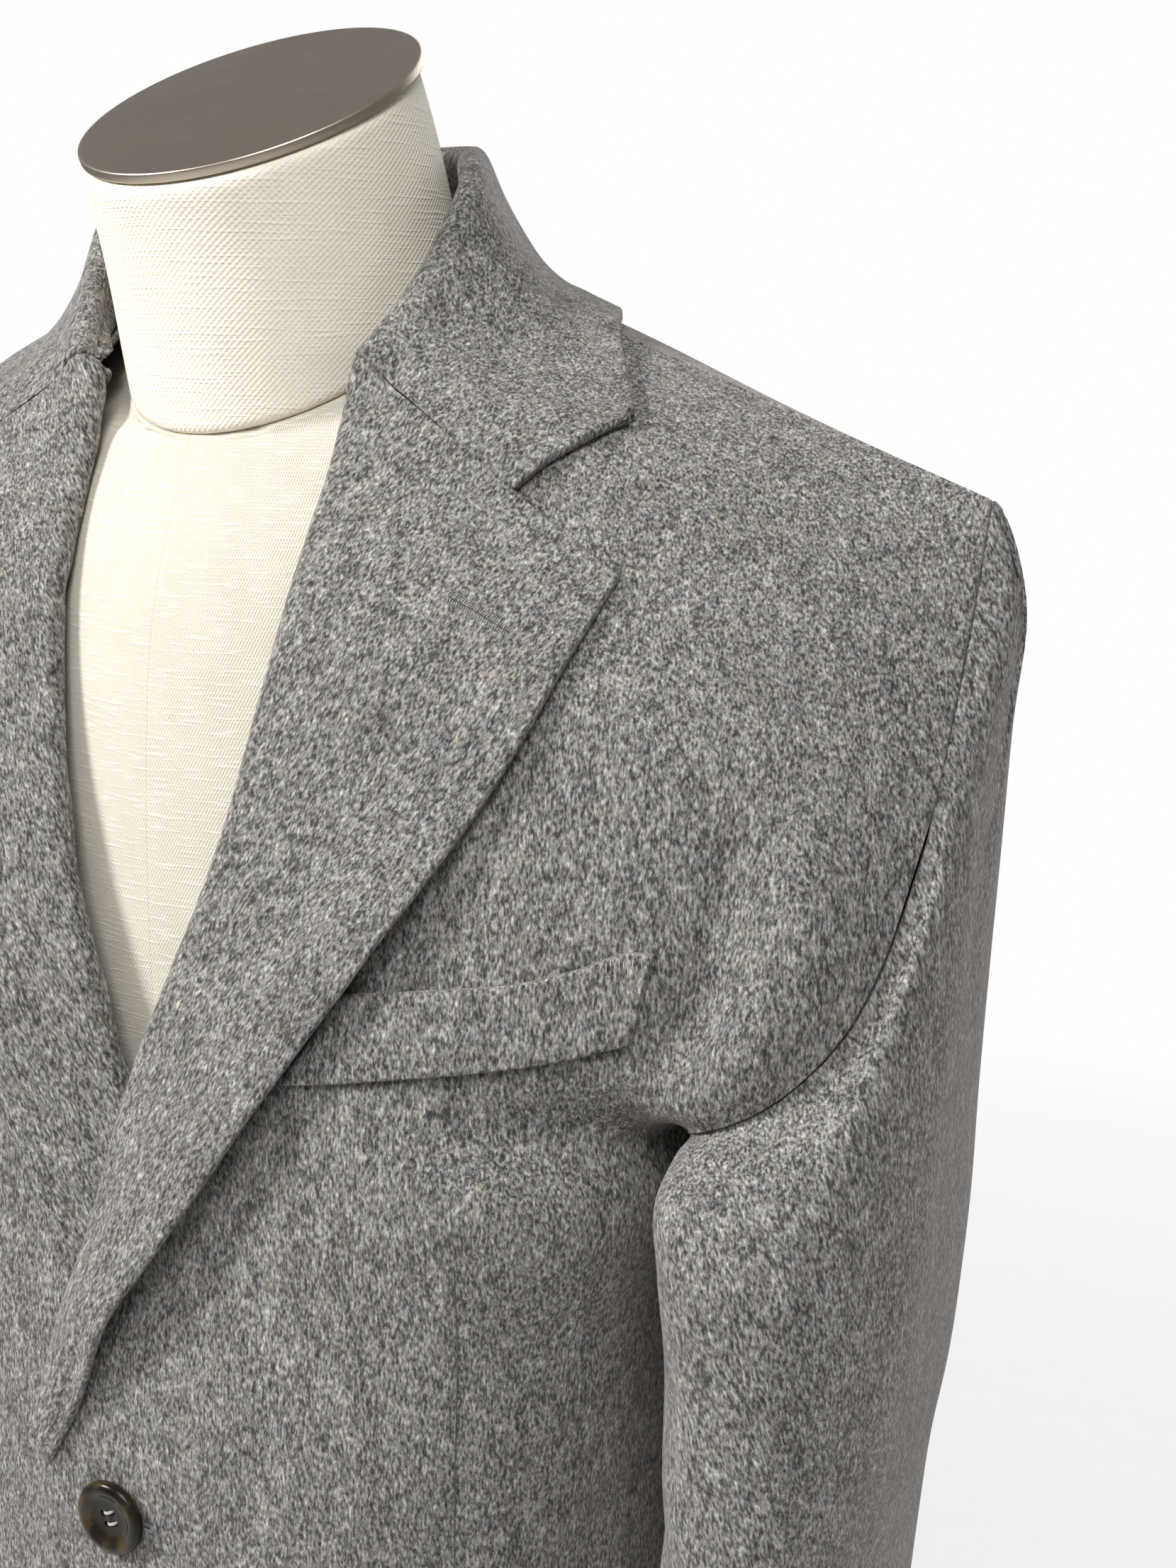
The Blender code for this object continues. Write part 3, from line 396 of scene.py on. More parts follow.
# ---------------------------------------------------------------- finishes
class Finish:
    """A material under way: its board, its shader and the surface's coordinates."""

    def __init__(self, name: str, map_name: str | None = None) -> None:
        """Open a material, which reads a UV map where one is named."""
        self.material = bpy.data.materials.new(name)
        self.material.use_nodes = True
        self.board = NodeBoard(self.material.node_tree)
        self.shader = self.material.node_tree.nodes["Principled BSDF"]
        self.object_space = self.board.node("ShaderNodeTexCoord").outputs["Object"]
        self.surface = self.object_space
        if map_name:
            self.surface = self.board.node("ShaderNodeUVMap", uv_map=map_name).outputs["UV"]

    def effect(self, effect: Effect, vector: object, **values: float) -> Node:
        """Place a shared effect with its own values.

        Args:
            effect: which effect.
            vector: the coordinates that it reads.
            **values: its inputs, with spaces as underscores.

        Returns:
            The group's node.
        """
        made = self.board.node("ShaderNodeGroup")
        made.node_tree = bpy.data.node_groups[effect.value]
        self.board.feed(made.inputs["Vector"], vector)
        for key, value in values.items():
            made.inputs[key.replace("_", " ")].default_value = value
        return made

    def bump(self, height: object, distance: float, strength: float) -> None:
        """Raise the surface by a height that changes over it."""
        made = self.board.node("ShaderNodeBump")
        made.inputs["Distance"].default_value = distance
        made.inputs["Strength"].default_value = strength
        self.board.feed(made.inputs["Height"], height)
        self.wire(Normal=made.outputs["Normal"])

    def wire(self, **values: object) -> None:
        """Link or set sockets of the shader, with spaces as underscores."""
        for key, value in values.items():
            self.board.feed(self.shader.inputs[key.replace("_", " ")], value)


@dataclass(frozen=True)
class MelangeWool:
    """Brushed wool of mixed grey fibres, with the lie of its nap."""

    name: str
    lean: float = 0.0            # turn of the nap about the front-to-back axis, degrees
    fibre_scale: float = 1150.0
    streak: float = 2.6          # a fibre's length over its width
    contrast: float = 3.0

    STOPS = (
        (0.00, (0.024, 0.024, 0.023)),
        (0.27, (0.058, 0.057, 0.054)),
        (0.46, (0.142, 0.137, 0.128)),
        (0.62, (0.225, 0.218, 0.203)),
        (0.80, (0.345, 0.335, 0.312)),
        (1.00, (0.540, 0.524, 0.488)),
    )
    TINTS = (
        (0.35, (0.94, 0.97, 1.03)),
        (0.50, (1.0, 1.0, 1.0)),
        (0.68, (1.06, 0.99, 0.93)),
    )

    def build(self) -> Material:
        """Make the material."""
        made = Finish(self.name)
        board = made.board
        nap = board.mapping(made.object_space, (0.0, math.radians(self.lean), 0.0),
                            (1.0, 1.0, self.streak))
        fibres = made.effect(Effect.FIBRES, nap, Fibre_Scale=self.fibre_scale,
                             Contrast=self.contrast)
        relief = fibres.outputs["Relief"]
        grey = board.ramp(fibres.outputs["Shade"], self.STOPS)
        tint = board.ramp(board.noise(made.object_space, 260.0, 2.0), self.TINTS)
        made.bump(relief, 0.0011, 0.55)
        made.wire(Base_Color=board.mix(0.8, grey, tint, "MULTIPLY"),
                  Roughness=board.times(relief, 0.12, 0.86), Sheen_Weight=0.22,
                  Sheen_Roughness=0.45, Sheen_Tint=(1.0, 0.90, 0.86, 1.0),
                  Specular_IOR_Level=0.12)
        return made.material


@dataclass(frozen=True)
class FormLinen:
    """Cream linen in plain weave with slubs, and a faint seam down the middle."""

    name: str
    pitch: float = 0.00105
    colour: Colour = (0.88, 0.82, 0.69)
    shadow: Colour = (0.60, 0.57, 0.50)
    slub_colour: Colour = (0.90, 0.87, 0.80)
    seam_colour: Colour = (0.55, 0.52, 0.46)
    slub_size: Point = (0.022, 0.0011, 1.0)
    seam_half_width: float = 0.0007
    seam_strength: float = 0.0

    def build(self) -> Material:
        """Make the material."""
        made = Finish(self.name, "cloth_map")
        board = made.board
        weave = made.effect(Effect.WEAVE, made.surface, Pitch=self.pitch)
        slub = board.noise(board.mapping(made.surface, stretch=self.slub_size), 1.0, 2.0)
        raised = board.ramp(slub, ((0.52, (0.0, 0.0, 0.0)), (0.70, (1.0, 1.0, 1.0))))
        base = board.mix(board.times(weave.outputs["Gap"], 0.34), (*self.colour, 1.0),
                         (*self.shadow, 1.0))
        cloud = board.ramp(board.noise(made.surface, 45.0, 3.0),
                           ((0.3, (0.95, 0.95, 0.95)), (0.7, (1.03, 1.03, 1.03))))
        base = board.mix(1.0, base, cloud, "MULTIPLY")
        base = board.mix(board.times(raised, 0.35), base, (*self.slub_colour, 1.0))
        parts = board.node("ShaderNodeSeparateXYZ")
        board.link(made.object_space, parts.inputs[0])
        aside = board.math("DIVIDE", board.math("ABSOLUTE", parts.outputs["X"]),
                           self.seam_half_width)
        seam = board.math("MAXIMUM", board.math("SUBTRACT", 1.0, aside), 0.0)
        base = board.mix(board.times(seam, 0.35 * self.seam_strength), base,
                         (*self.seam_colour, 1.0))
        height = board.math("SUBTRACT", board.times(raised, 0.6, weave.outputs["Height"]),
                            board.times(seam, 1.4 * self.seam_strength))
        made.bump(height, 0.00035, 0.6)
        made.wire(Base_Color=base, Roughness=0.86, Sheen_Weight=0.12, Sheen_Roughness=0.5,
                  Specular_IOR_Level=0.2)
        return made.material


@dataclass(frozen=True)
class BrushedSteel:
    """Warm grey steel, brushed one way."""

    name: str
    stretch: Point = (60.0, 1.0, 1.0)
    colour: Colour = (0.46, 0.395, 0.325)

    def build(self) -> Material:
        """Make the material."""
        made = Finish(self.name)
        board = made.board
        lines = board.noise(board.mapping(made.object_space, stretch=self.stretch), 2600.0, 2.0)
        mark = made.effect(Effect.GRIME, made.object_space, Scale=38.0).outputs["Mark"]
        shade = board.times(mark, 0.06, board.times(lines, 0.16, 0.92))
        made.bump(lines, 0.00002, 0.25)
        made.wire(Base_Color=board.mix(1.0, (*self.colour, 1.0), shade, "MULTIPLY"),
                  Roughness=board.times(lines, 0.06, board.times(mark, 0.10, 0.28)),
                  Metallic=1.0)
        return made.material


@dataclass(frozen=True)
class PolishedHorn:
    """Dark brown horn with lighter clouds."""

    name: str

    STOPS = (
        (0.34, (0.006, 0.005, 0.003)),
        (0.52, (0.016, 0.012, 0.007)),
        (0.66, (0.060, 0.042, 0.018)),
        (0.80, (0.150, 0.110, 0.055)),
    )

    def build(self) -> Material:
        """Make the material."""
        made = Finish(self.name)
        board = made.board
        drawn = board.mapping(made.object_space, (0.4, 0.2, 0.6), (1.0, 1.0, 2.2))
        mark = made.effect(Effect.GRIME, made.object_space, Scale=160.0).outputs["Mark"]
        made.bump(mark, 0.0001, 0.2)
        made.wire(Base_Color=board.ramp(board.noise(drawn, 95.0, 4.0, 0.55), self.STOPS),
                  Roughness=board.times(mark, 0.16, 0.16), Specular_IOR_Level=0.22)
        return made.material


@dataclass(frozen=True)
class SewingThread:
    """Twisted thread."""

    name: str
    colour: Colour

    def build(self) -> Material:
        """Make the material."""
        made = Finish(self.name)
        fibres = made.effect(Effect.FIBRES, made.object_space, Fibre_Scale=2600.0, Contrast=1.6)
        stops = tuple((place, tuple(min(1.0, c * share) for c in self.colour))
                      for place, share in ((0.2, 0.55), (0.8, 1.25)))
        made.bump(fibres.outputs["Relief"], 0.0002, 0.5)
        made.wire(Base_Color=made.board.ramp(fibres.outputs["Shade"], stops), Roughness=0.75,
                  Sheen_Weight=0.2)
        return made.material


@dataclass(frozen=True)
class StudioPaint:
    """Plain pale paint of the floor, which fades into the white behind it."""

    name: str
    colour: Colour = (0.86, 0.86, 0.855)
    near: float = 0.6
    far: float = 3.0

    def build(self) -> Material:
        """Make the material."""
        made = Finish(self.name)
        board = made.board
        light = tuple(min(1.0, c * 1.02) for c in self.colour)
        made.wire(Base_Color=board.ramp(board.noise(made.object_space, 30.0, 3.0),
                                        ((0.4, self.colour), (0.6, light))), Roughness=0.9)
        far = board.node("ShaderNodeVectorMath", operation="LENGTH")
        board.link(made.object_space, far.inputs[0])
        share = board.math("DIVIDE", board.math("SUBTRACT", far.outputs["Value"], self.near),
                           self.far - self.near)
        share = board.math("MINIMUM", board.math("MAXIMUM", share, 0.0), 1.0)
        share = board.times(share, board.node("ShaderNodeLightPath").outputs["Is Camera Ray"])
        board.choose(share, made.shader, board.node("ShaderNodeEmission"),
                     made.material.node_tree.nodes["Material Output"])
        return made.material


# ---------------------------------------------------------------- cloth shells
@dataclass(frozen=True)
class Crease:
    """A soft trough along a curve through three points; a ridge if its depth is below 0."""

    start: Point
    middle: Point
    end: Point
    width: float
    depth: float
    fade: float = 0.25           # share of the length over which each end fades

    STEPS = 33

    def press(self, places: np.ndarray) -> np.ndarray:
        """Depth at each of many places."""
        shares = np.linspace(0.0, 1.0, self.STEPS)
        first, bend, last = (np.array(p) for p in (self.start, self.middle, self.end))
        control = 2.0 * bend - (first + last) / 2.0
        line = np.array([(1 - s) ** 2 * first + 2 * (1 - s) * s * control + s ** 2 * last
                         for s in shares])
        best = np.full(len(places), np.inf)
        along = np.zeros(len(places))
        for i in range(len(line) - 1):
            run = line[i + 1] - line[i]
            share = np.clip(((places - line[i]) @ run) / (run @ run), 0.0, 1.0)
            gap = np.linalg.norm(places - line[i] - share[:, None] * run, axis=1)
            nearer = gap < best
            best = np.where(nearer, gap, best)
            along = np.where(nearer, (i + share) / (len(line) - 1), along)
        ends = smooth_step(along / self.fade) * smooth_step((1.0 - along) / self.fade)
        return self.depth * np.exp(-(best / self.width) ** 2) * ends


def crease_rows(rows: tuple[tuple[float, ...], ...], sign: float = 1.0, wider: float = 1.0,
                deeper: float = 1.0) -> tuple[Crease, ...]:
    """Creases of one side from a table.

    Args:
        rows: for each crease the x, y and z of its start, middle and end, its width and
            depth, and its fade where that isn't the usual one.
        sign: 1 for the left side and -1 for the right.
        wider: factor on the widths.
        deeper: factor on the depths.

    Returns:
        The creases.
    """
    return tuple(Crease(*((sign * row[i], row[i + 1], row[i + 2]) for i in (0, 3, 6)),
                        row[9] * wider, row[10] * deeper, *row[11:]) for row in rows)


class WallKind(Enum):
    """How a wall's two grids close."""

    SHEET = "four corners"
    HALF = "half of a mirrored sheet, up to x = 0"
    TUBE = "rings"


class WallGrid:
    """Finds the grid of points of a wall's outer face in its loose triangles.

    Every wall is two grids of the same size with a rim between them, so its corners are
    where three quads meet and every other vertex is where four meet.
    """

    RIM_MISS = 0.004             # share by which a tube's rim may miss the wall's thickness
    CORNER_MISS = 0.13           # the same at a sheet's corners, where it is askew
    RIM_TURN = math.radians(64.0)    # a half's outer face ends at a sharper turn
    TRIED_PAIRS = 24             # sharpest edges across a sheet's rim that are tried
    TRIED_CORNERS = 9            # sharpest border vertices of a half that are tried

    def __init__(self, node: str, cloth: float, outside: Point, kind: WallKind) -> None:
        """Open the node's mesh.

        Args:
            node: the CAD node.
            cloth: how thick its wall is.
            outside: a point towards which its outer face looks.
            kind: how its grids close.
        """
        self.work = bmesh.new()
        self.work.from_mesh(bpy.data.objects[node].data)
        bmesh.ops.remove_doubles(self.work, verts=self.work.verts, dist=SAME_PLACE)
        self.node = node
        self.cloth = cloth
        self.outside = Vector(outside)
        self.kind = kind

    def keep(self, sheet: set[Face]) -> None:
        """Drop all the faces but these."""
        rest = [face for face in self.work.faces if face not in sheet]
        bmesh.ops.delete(self.work, geom=rest, context="FACES")

    def points(self) -> np.ndarray:
        """Rows and columns of the outer face's points, turned to face outward."""
        if self.kind is WallKind.TUBE:
            self.keep(self.outer_sheet(self.tube_rim()))
            rows = self.tube_rows()
        elif self.kind is WallKind.HALF:
            self.keep({f for f in self.work.faces if f.calc_center_median().x > 0.0})
            self.keep(self.outer_sheet(set(), self.RIM_TURN))
            sharp = self.sharpness()
            tried = sorted((v for v in self.work.verts if v.is_boundary), key=sharp.get)
            self.open_quads([(v,) for v in tried[:self.TRIED_CORNERS]], 2, set())
            rows = self.open_rows()
        else:
            self.keep(self.outer_sheet(self.closed_rim()))
            rows = self.open_rows()
        grid = np.array([[vert.co[:] for vert in row] for row in rows])
        r, c = len(rows) // 3, len(rows[0]) // 3
        facing = Vector(grid[r, c + 1] - grid[r, c]).cross(Vector(grid[r + 1, c] - grid[r, c]))
        face = next(f for f in rows[r][c].link_faces if rows[r][c + 1] in f.verts)
        face.normal_update()
        away = facing.dot(face.normal) < 0
        self.work.free()
        return grid[:, ::-1] if away else grid

    def sharpness(self) -> dict[Vert, float]:
        """Sum of the angles of the faces at each vertex: small at a corner."""
        return {v: sum(loop.calc_angle() for loop in v.link_loops) for v in self.work.verts}

    def tube_rim(self) -> set[Face]:
        """Faces with an edge exactly as long as the cloth is thick."""
        return {face for edge in self.work.edges
                if abs(edge.calc_length() / self.cloth - 1.0) < self.RIM_MISS
                for face in edge.link_faces}

    def closed_rim(self) -> set[Face]:
        """Join a closed wall's triangles to quads, and give those of its rim."""
        sharp = self.sharpness()
        across = [e for e in self.work.edges
                  if abs(e.calc_length() / self.cloth - 1.0) < self.CORNER_MISS]
        across.sort(key=lambda e: sum(sharp[v] for v in e.verts))
        sure = {v for v in self.work.verts if len(v.link_edges) == 3}
        start = self.open_quads([tuple(e.verts) for e in across[:self.TRIED_PAIRS]], 3, sure)
        first = next(e for e in start[0].link_edges if e.other_vert(start[0]) is start[1])
        return self.strip(first)

    def open_quads(self, tried: list[tuple[Vert, ...]], at_corner: int,
                   sure: set[Vert]) -> tuple[Vert, ...]:
        """Find the four corners and join the triangles to quads.

        Args:
            tried: vertices that may be a corner, or pairs across the wall.
            at_corner: edges that meet at a corner.
            sure: vertices that are corners beyond doubt.

        Returns:
            The first corner.
        """
        for choice in itertools.combinations(tried, 4):
            corners = {v for group in choice for v in group}
            if len(corners) < 4 * len(choice[0]) or not sure <= corners:
                continue
            found = self.diagonals(corners, at_corner)
            if found is not None:
                bmesh.ops.dissolve_edges(self.work, edges=found, use_verts=False)
                return choice[0]
        raise ValueError(f"{self.node} is no wall of quads")

    def diagonals(self, corners: set[Vert], at_corner: int
                  ) -> list[Edge] | None:
        """Edges that split quads, or nothing if the corners don't fit."""
        left = {v: len(v.link_edges) - (at_corner if v in corners else 3 if v.is_boundary else 4)
                for v in self.work.verts}
        state: dict[Edge, bool] = {}
        todo: list[object] = list(self.work.verts)

        def settle(edge: Edge, diagonal: bool) -> None:
            """Note what an edge is."""
            if edge in state:
                return
            state[edge] = diagonal
            if diagonal:
                for vert in edge.verts:
                    left[vert] -= 1
                todo.extend(edge.verts)
            todo.extend(edge.link_faces)

        while todo:
            item = todo.pop()
            if isinstance(item, Vert):
                if left[item] < 0:
                    return None
                if left[item] == 0:
                    for edge in item.link_edges:
                        settle(edge, False)
                continue
            known = [state.get(edge) for edge in item.edges]
            if True in known:
                for edge in item.edges:
                    settle(edge, False)
            elif known.count(False) == 3:
                return None
            elif known.count(False) == 2:
                settle(item.edges[known.index(None)], True)
        whole = len(state) == len(self.work.edges) and not any(left.values())
        return [edge for edge, diagonal in state.items() if diagonal] if whole else None

    @staticmethod
    def strip(start: Edge) -> set[Face]:
        """Ring of quads that an edge leads round."""
        faces: set[Face] = set()
        edges = {start}
        front = [start]
        while front:
            edge = front.pop()
            for face in edge.link_faces:
                faces.add(face)
                for other in face.edges:
                    if other not in edges and not set(other.verts) & set(edge.verts):
                        edges.add(other)
                        front.append(other)
        return faces

    def outer_sheet(self, rim: set[Face], turn: float = math.tau
                    ) -> set[Face]:
        """The faces of the side that looks outward, up to the rim or a sharper turn."""
        def nearness(face: Face) -> float:
            """Greatest for the face nearest to the outside."""
            way = self.outside - face.calc_center_median()
            return 0.1 * way.normalized().dot(face.normal) - way.length

        seed = max((f for f in self.work.faces if f not in rim), key=nearness)
        sheet = {seed}
        front = [seed]
        while front:
            face = front.pop()
            for edge in face.edges:
                for other in edge.link_faces:
                    if other in sheet or other in rim:
                        continue
                    if face.normal.angle(other.normal, 3.0) < turn:
                        sheet.add(other)
                        front.append(other)
        return sheet

    @staticmethod
    def order(row: set[Vert], start: Vert
              ) -> list[Vert]:
        """Put a row's vertices in order along its edges."""
        line = [start]
        while len(line) < len(row):
            ahead = [e.other_vert(line[-1]) for e in line[-1].link_edges]
            line.append(next(v for v in ahead if v in row and v not in line))
        return line

    def tube_rows(self) -> list[list[Vert]]:
        """Rings of a tube, each one the neighbours of the one before."""
        start = max((v for v in self.work.verts if v.is_boundary), key=lambda v: v.co.z)
        ring = [start]
        while True:
            ahead = [e.other_vert(ring[-1]) for e in ring[-1].link_edges if e.is_boundary]
            fresh = [v for v in ahead if v not in ring]
            if not fresh:
                break
            ring.append(fresh[0])
        rows = [ring]
        done = set(ring)
        while True:
            after = {e.other_vert(v) for v in rows[-1] for e in v.link_edges} - done
            if not after:
                return rows
            line = self.order(after, next(iter(after)))
            before = np.array([v.co[:] for v in rows[-1]])
            best = []
            for turned in (line, line[::-1]):
                for shift in range(len(line)):
                    now = turned[shift:] + turned[:shift]
                    gap = np.linalg.norm(np.array([v.co[:] for v in now]) - before, axis=1)
                    best.append((float(gap.sum()), len(best), now))
            rows.append(min(best)[2])
            done |= after

    def open_rows(self) -> list[list[Vert]]:
        """Rows of an open grid, from the border row at its lowest corner."""
        corners = [v for v in self.work.verts if len(v.link_faces) == 1]
        start = min(corners, key=lambda v: (round(v.co.z, 3), v.co.x))
        sides = []
        for first in start.link_edges:
            line = [start, first.other_vert(start)]
            while line[-1] not in corners:
                ahead = [e.other_vert(line[-1]) for e in line[-1].link_edges if e.is_boundary]
                line.append(next(v for v in ahead if v is not line[-2]))
            sides.append(line)
        rows = [min(sides, key=lambda line: abs(line[-1].co.z - start.co.z))]
        free = set(self.work.faces)
        while free:
            after: list[Vert] = []
            for left, right in zip(rows[-1], rows[-1][1:]):
                face = next(f for f in left.link_faces if f in free and right in f.verts)
                free.discard(face)
                across = [v for v in face.verts if v not in (left, right)]
                if not after:
                    after.append(next(v for v in across
                                      if any(left in e.verts and v in e.verts for e in face.edges)))
                after.append(next(v for v in across if v is not after[-1]))
            rows.append(after)
        return rows


def refine(grid: np.ndarray, cell: float, borders: tuple[float, ...]) -> np.ndarray:
    """Put more rows into a grid, along smooth curves through its points.

    Args:
        grid: rows and columns of points.
        cell: how far apart the rows lie.
        borders: distances from the first and last row at which close rows lie.

    Returns:
        The finer grid; each column is a centripetal curve through its points.
    """
    chord = np.linalg.norm(np.diff(grid, axis=0), axis=2)[:, :, None]
    knot = np.sqrt(np.maximum(chord, 1e-6))
    slope = np.diff(grid, axis=0) / knot
    inner = (slope[:-1] * knot[1:] + slope[1:] * knot[:-1]) / (knot[1:] + knot[:-1])
    first = 1.5 * slope[:1] - 0.5 * inner[:1]
    last = 1.5 * slope[-1:] - 0.5 * inner[-1:]
    tangent = np.concatenate([first, inner, last])
    near = np.array(borders)[:, None]
    rows = []
    for i in range(len(chord)):
        count = max(1, math.ceil(float(chord[i].mean()) / cell))
        length = chord[i, :, 0][None, :]
        shares = np.linspace(0.0, 1.0, count + 1)[:-1, None] + np.zeros_like(length)
        if borders and i in (0, len(chord) - 1):
            held = np.minimum(near / length, 0.5 * np.linspace(0.15, 1.0, len(borders))[:, None])
            even = held[-1] + (1.0 - held[-1]) * np.linspace(0.0, 1.0, count + 1)[1:-1, None]
            shares = np.concatenate([np.zeros_like(length), held, even])
            if i:
                shares = np.concatenate([np.zeros_like(length), 1.0 - shares[:0:-1]])
        u = shares[:, :, None]
        square, cube = u ** 2, u ** 3
        rows.append((2 * cube - 3 * square + 1) * grid[i] + (3 * square - 2 * cube) * grid[i + 1]
                    + knot[i] * ((cube - 2 * square + u) * tangent[i]
                                 + (cube - square) * tangent[i + 1]))
    rows.append(grid[-1:])
    return np.concatenate(rows)


def soften(grid: np.ndarray, passes: int, places: tuple[tuple[Point, float], ...] = ()
           ) -> np.ndarray:
    """Ease the kinks of a fine grid away from its edges.

    Args:
        grid: rows and columns of points.
        passes: how often all of it is eased.
        places: centre and radius of each place that is pulled smooth.

    Returns:
        The same grid, eased.
    """
    def ease(share: object) -> None:
        """Move each inner point towards the mean of its neighbours."""
        middle = grid[1:-1, 1:-1]
        mean = (grid[:-2, 1:-1] + grid[2:, 1:-1] + grid[1:-1, :-2] + grid[1:-1, 2:]) / 4.0
        grid[1:-1, 1:-1] = middle + share * (mean - middle)

    for centre, radius in places:
        far = np.linalg.norm(grid[1:-1, 1:-1] - np.array(centre), axis=2)[:, :, None]
        share = 0.5 * np.exp(-(far / radius) ** 4)
        for _ in range(PULL_PASSES):
            ease(share)
    for _ in range(passes):
        ease(0.5)
    return grid


@dataclass(frozen=True)
class Swell:
    """A push of the cloth around one place, held at the piece's edges."""

    centre: Point
    radii: Point
    shift: Point
    held: float = 0.012          # distance from an edge over which it grows

    def push(self, places: np.ndarray, distance: np.ndarray) -> np.ndarray:
        """Shift at each of many places."""
        far = (((places - np.array(self.centre)) / np.array(self.radii)) ** 2).sum(axis=1)
        share = np.exp(-far) * smooth_step(distance / self.held)
        return share[:, None] * np.array(self.shift)


def swell_rows(rows: tuple[tuple[float, ...], ...], sign: float) -> tuple[Swell, ...]:
    """Swells of one side from a table.

    Args:
        rows: for each swell the x, y and z of its centre, its radii and its shift, and how
            it is held where that isn't the usual way.
        sign: 1 for the left side and -1 for the right.

    Returns:
        The swells.
    """
    return tuple(Swell((sign * row[0], row[1], row[2]), row[3:6],
                       (sign * row[6], row[7], row[8]), *row[9:]) for row in rows)


@dataclass
class ClothShell:
    """A cloth piece: the outer face of a solid's wall, smoothed, creased and thickened."""

    node: str
    cloth: float                 # thickness of the solid's wall and of the cloth
    outside: Point               # a point towards which the outer face looks
    kind: WallKind = WallKind.SHEET
    cell: float = 0.0042
    passes: int = 6              # how often its kinks are eased
    reach: float = 0.0           # how far its first row is drawn out to its seam
    creases: tuple[Crease, ...] = ()
    swells: tuple[Swell, ...] = ()
    eased: tuple[tuple[Point, float], ...] = ()
    unevenness: float = 0.0006
    edge_round: float = 0.0006
    sewn: tuple[tuple[Point, Point], ...] = ()   # lines along which its edge is less round
    seed: int = 3
    piece: Piece = field(init=False)
    edge_marks: list[Vector] = field(default_factory=list)

    BORDERS = (0.00035, 0.0009, 0.0017, 0.0028)   # close rows along an edge
    WAVES = 9                    # waves of the cloth's unevenness
    LAID_NEAR = 0.010            # how near cloth lies to what it rests on
    LAID_DEPTH = 0.006           # how deep it may be in it
    LAID_FACING = 0.35           # how alike both must face
    LAID_PASSES = (24, 6)        # how often a lift is spread, then eased
    MARK_STEP = 0.0004           # distance between marks along an edge
    SEWN_BAND = (0.003, 0.004)   # where the edge's rounding starts beside a seam, and how fast

    def build(self, rests_on: tuple[Piece, ...] = (), stand_off: float = 0.0004,
              joins: tuple[ClothShell, ...] = ()) -> Piece:
        """Make the shell.

        Args:
            rests_on: finished pieces that it lies on.
            stand_off: how far its underside stays off them.
            joins: shells that it is sewn to edge to edge.

        Returns:
            The piece, without its material.
        """
        self.make_sheet()
        self.press_creases()
        for below in rests_on:
            self.lie_on(below, self.cloth + stand_off)
        if joins:
            self.meet([mark for shell in joins for mark in shell.edge_marks])
        self.thicken()
        return self.piece

    def make_sheet(self) -> None:
        """Make the outer face as a fine, smooth and open sheet."""
        grid = WallGrid(self.node, self.cloth, self.outside, self.kind).points()
        if self.reach:
            way = grid[0] - grid[1]
            grid[0] += self.reach * way / np.linalg.norm(way, axis=1)[:, None]
        tube = self.kind is WallKind.TUBE
        if tube:
            grid = np.concatenate([grid[:, -3:], grid, grid[:, :4]], axis=1)
        fine = refine(grid, self.cell, self.BORDERS)
        across = () if tube else self.BORDERS
        whole = refine(fine.transpose(1, 0, 2), self.cell, across).transpose(1, 0, 2)
        if tube:
            counts = [max(1, math.ceil(float(step) / self.cell)) for step in
                      np.linalg.norm(np.diff(fine, axis=1), axis=2).mean(axis=0)]
            first = sum(counts[:3])
            whole = soften(whole, self.passes)[:, first:first + sum(counts[3:-3])]
        elif self.kind is WallKind.HALF:
            whole = self.both_halves(whole)
        else:
            whole = soften(whole, self.passes, self.eased)
        self.put_sheet(whole, tube)

    def both_halves(self, half: np.ndarray) -> np.ndarray:
        """Join a half and its mirror image, whose edges part above the neck's low point."""
        halves = [half[:, ::-1] * np.array([-1.0, 1.0, 1.0]), half]
        if abs(half[0, 0, 0]) >= abs(half[0, -1, 0]):
            halves.reverse()
        return np.concatenate([soften(side, self.passes) for side in halves], axis=1)

    def put_sheet(self, grid: np.ndarray, tube: bool) -> None:
        """Make the sheet's mesh from its grid."""
        rows, columns = grid.shape[:2]
        faces = []
        for r in range(rows - 1):
            for c in range(columns if tube else columns - 1):
                if self.kind is WallKind.HALF and c == columns // 2 - 1:
                    continue
                d = (c + 1) % columns
                faces.append((r * columns + c, r * columns + d,
                              (r + 1) * columns + d, (r + 1) * columns + c))
        name = f"{self.node}_cloth"
        mesh = bpy.data.meshes.new(name)
        mesh.from_pydata(grid.reshape(-1, 3).tolist(), [], faces)
        work = bmesh.new()
        work.from_mesh(mesh)
        if self.kind is WallKind.HALF:
            middle = [v for v in work.verts if abs(v.co.x) < 1e-5]
            bmesh.ops.remove_doubles(work, verts=middle, dist=3e-5)
        work.to_mesh(mesh)
        work.free()
        self.piece = new_object(name, mesh)
        mesh.shade_smooth()

    def press_creases(self) -> None:
        """Press the creases in, and a little unevenness that no cloth is without."""
        places = coordinates(self.piece)
        if self.swells:
            distance = self.edge_distance()
            places = places + sum(swell.push(places, distance) for swell in self.swells)
            set_coordinates(self.piece, places)
        normals = vertex_normals(self.piece)
        depth = np.zeros(len(places))
        for crease in self.creases:
            depth += crease.press(places)
        chance = np.random.default_rng(self.seed)
        for _ in range(self.WAVES):
            wave = chance.normal(0.0, (16.0, 16.0, 9.0))
            phase = chance.uniform(0.0, math.tau)
            depth += self.unevenness * 0.4 * np.sin(places @ wave + phase)
        set_coordinates(self.piece, places - normals * depth[:, None])

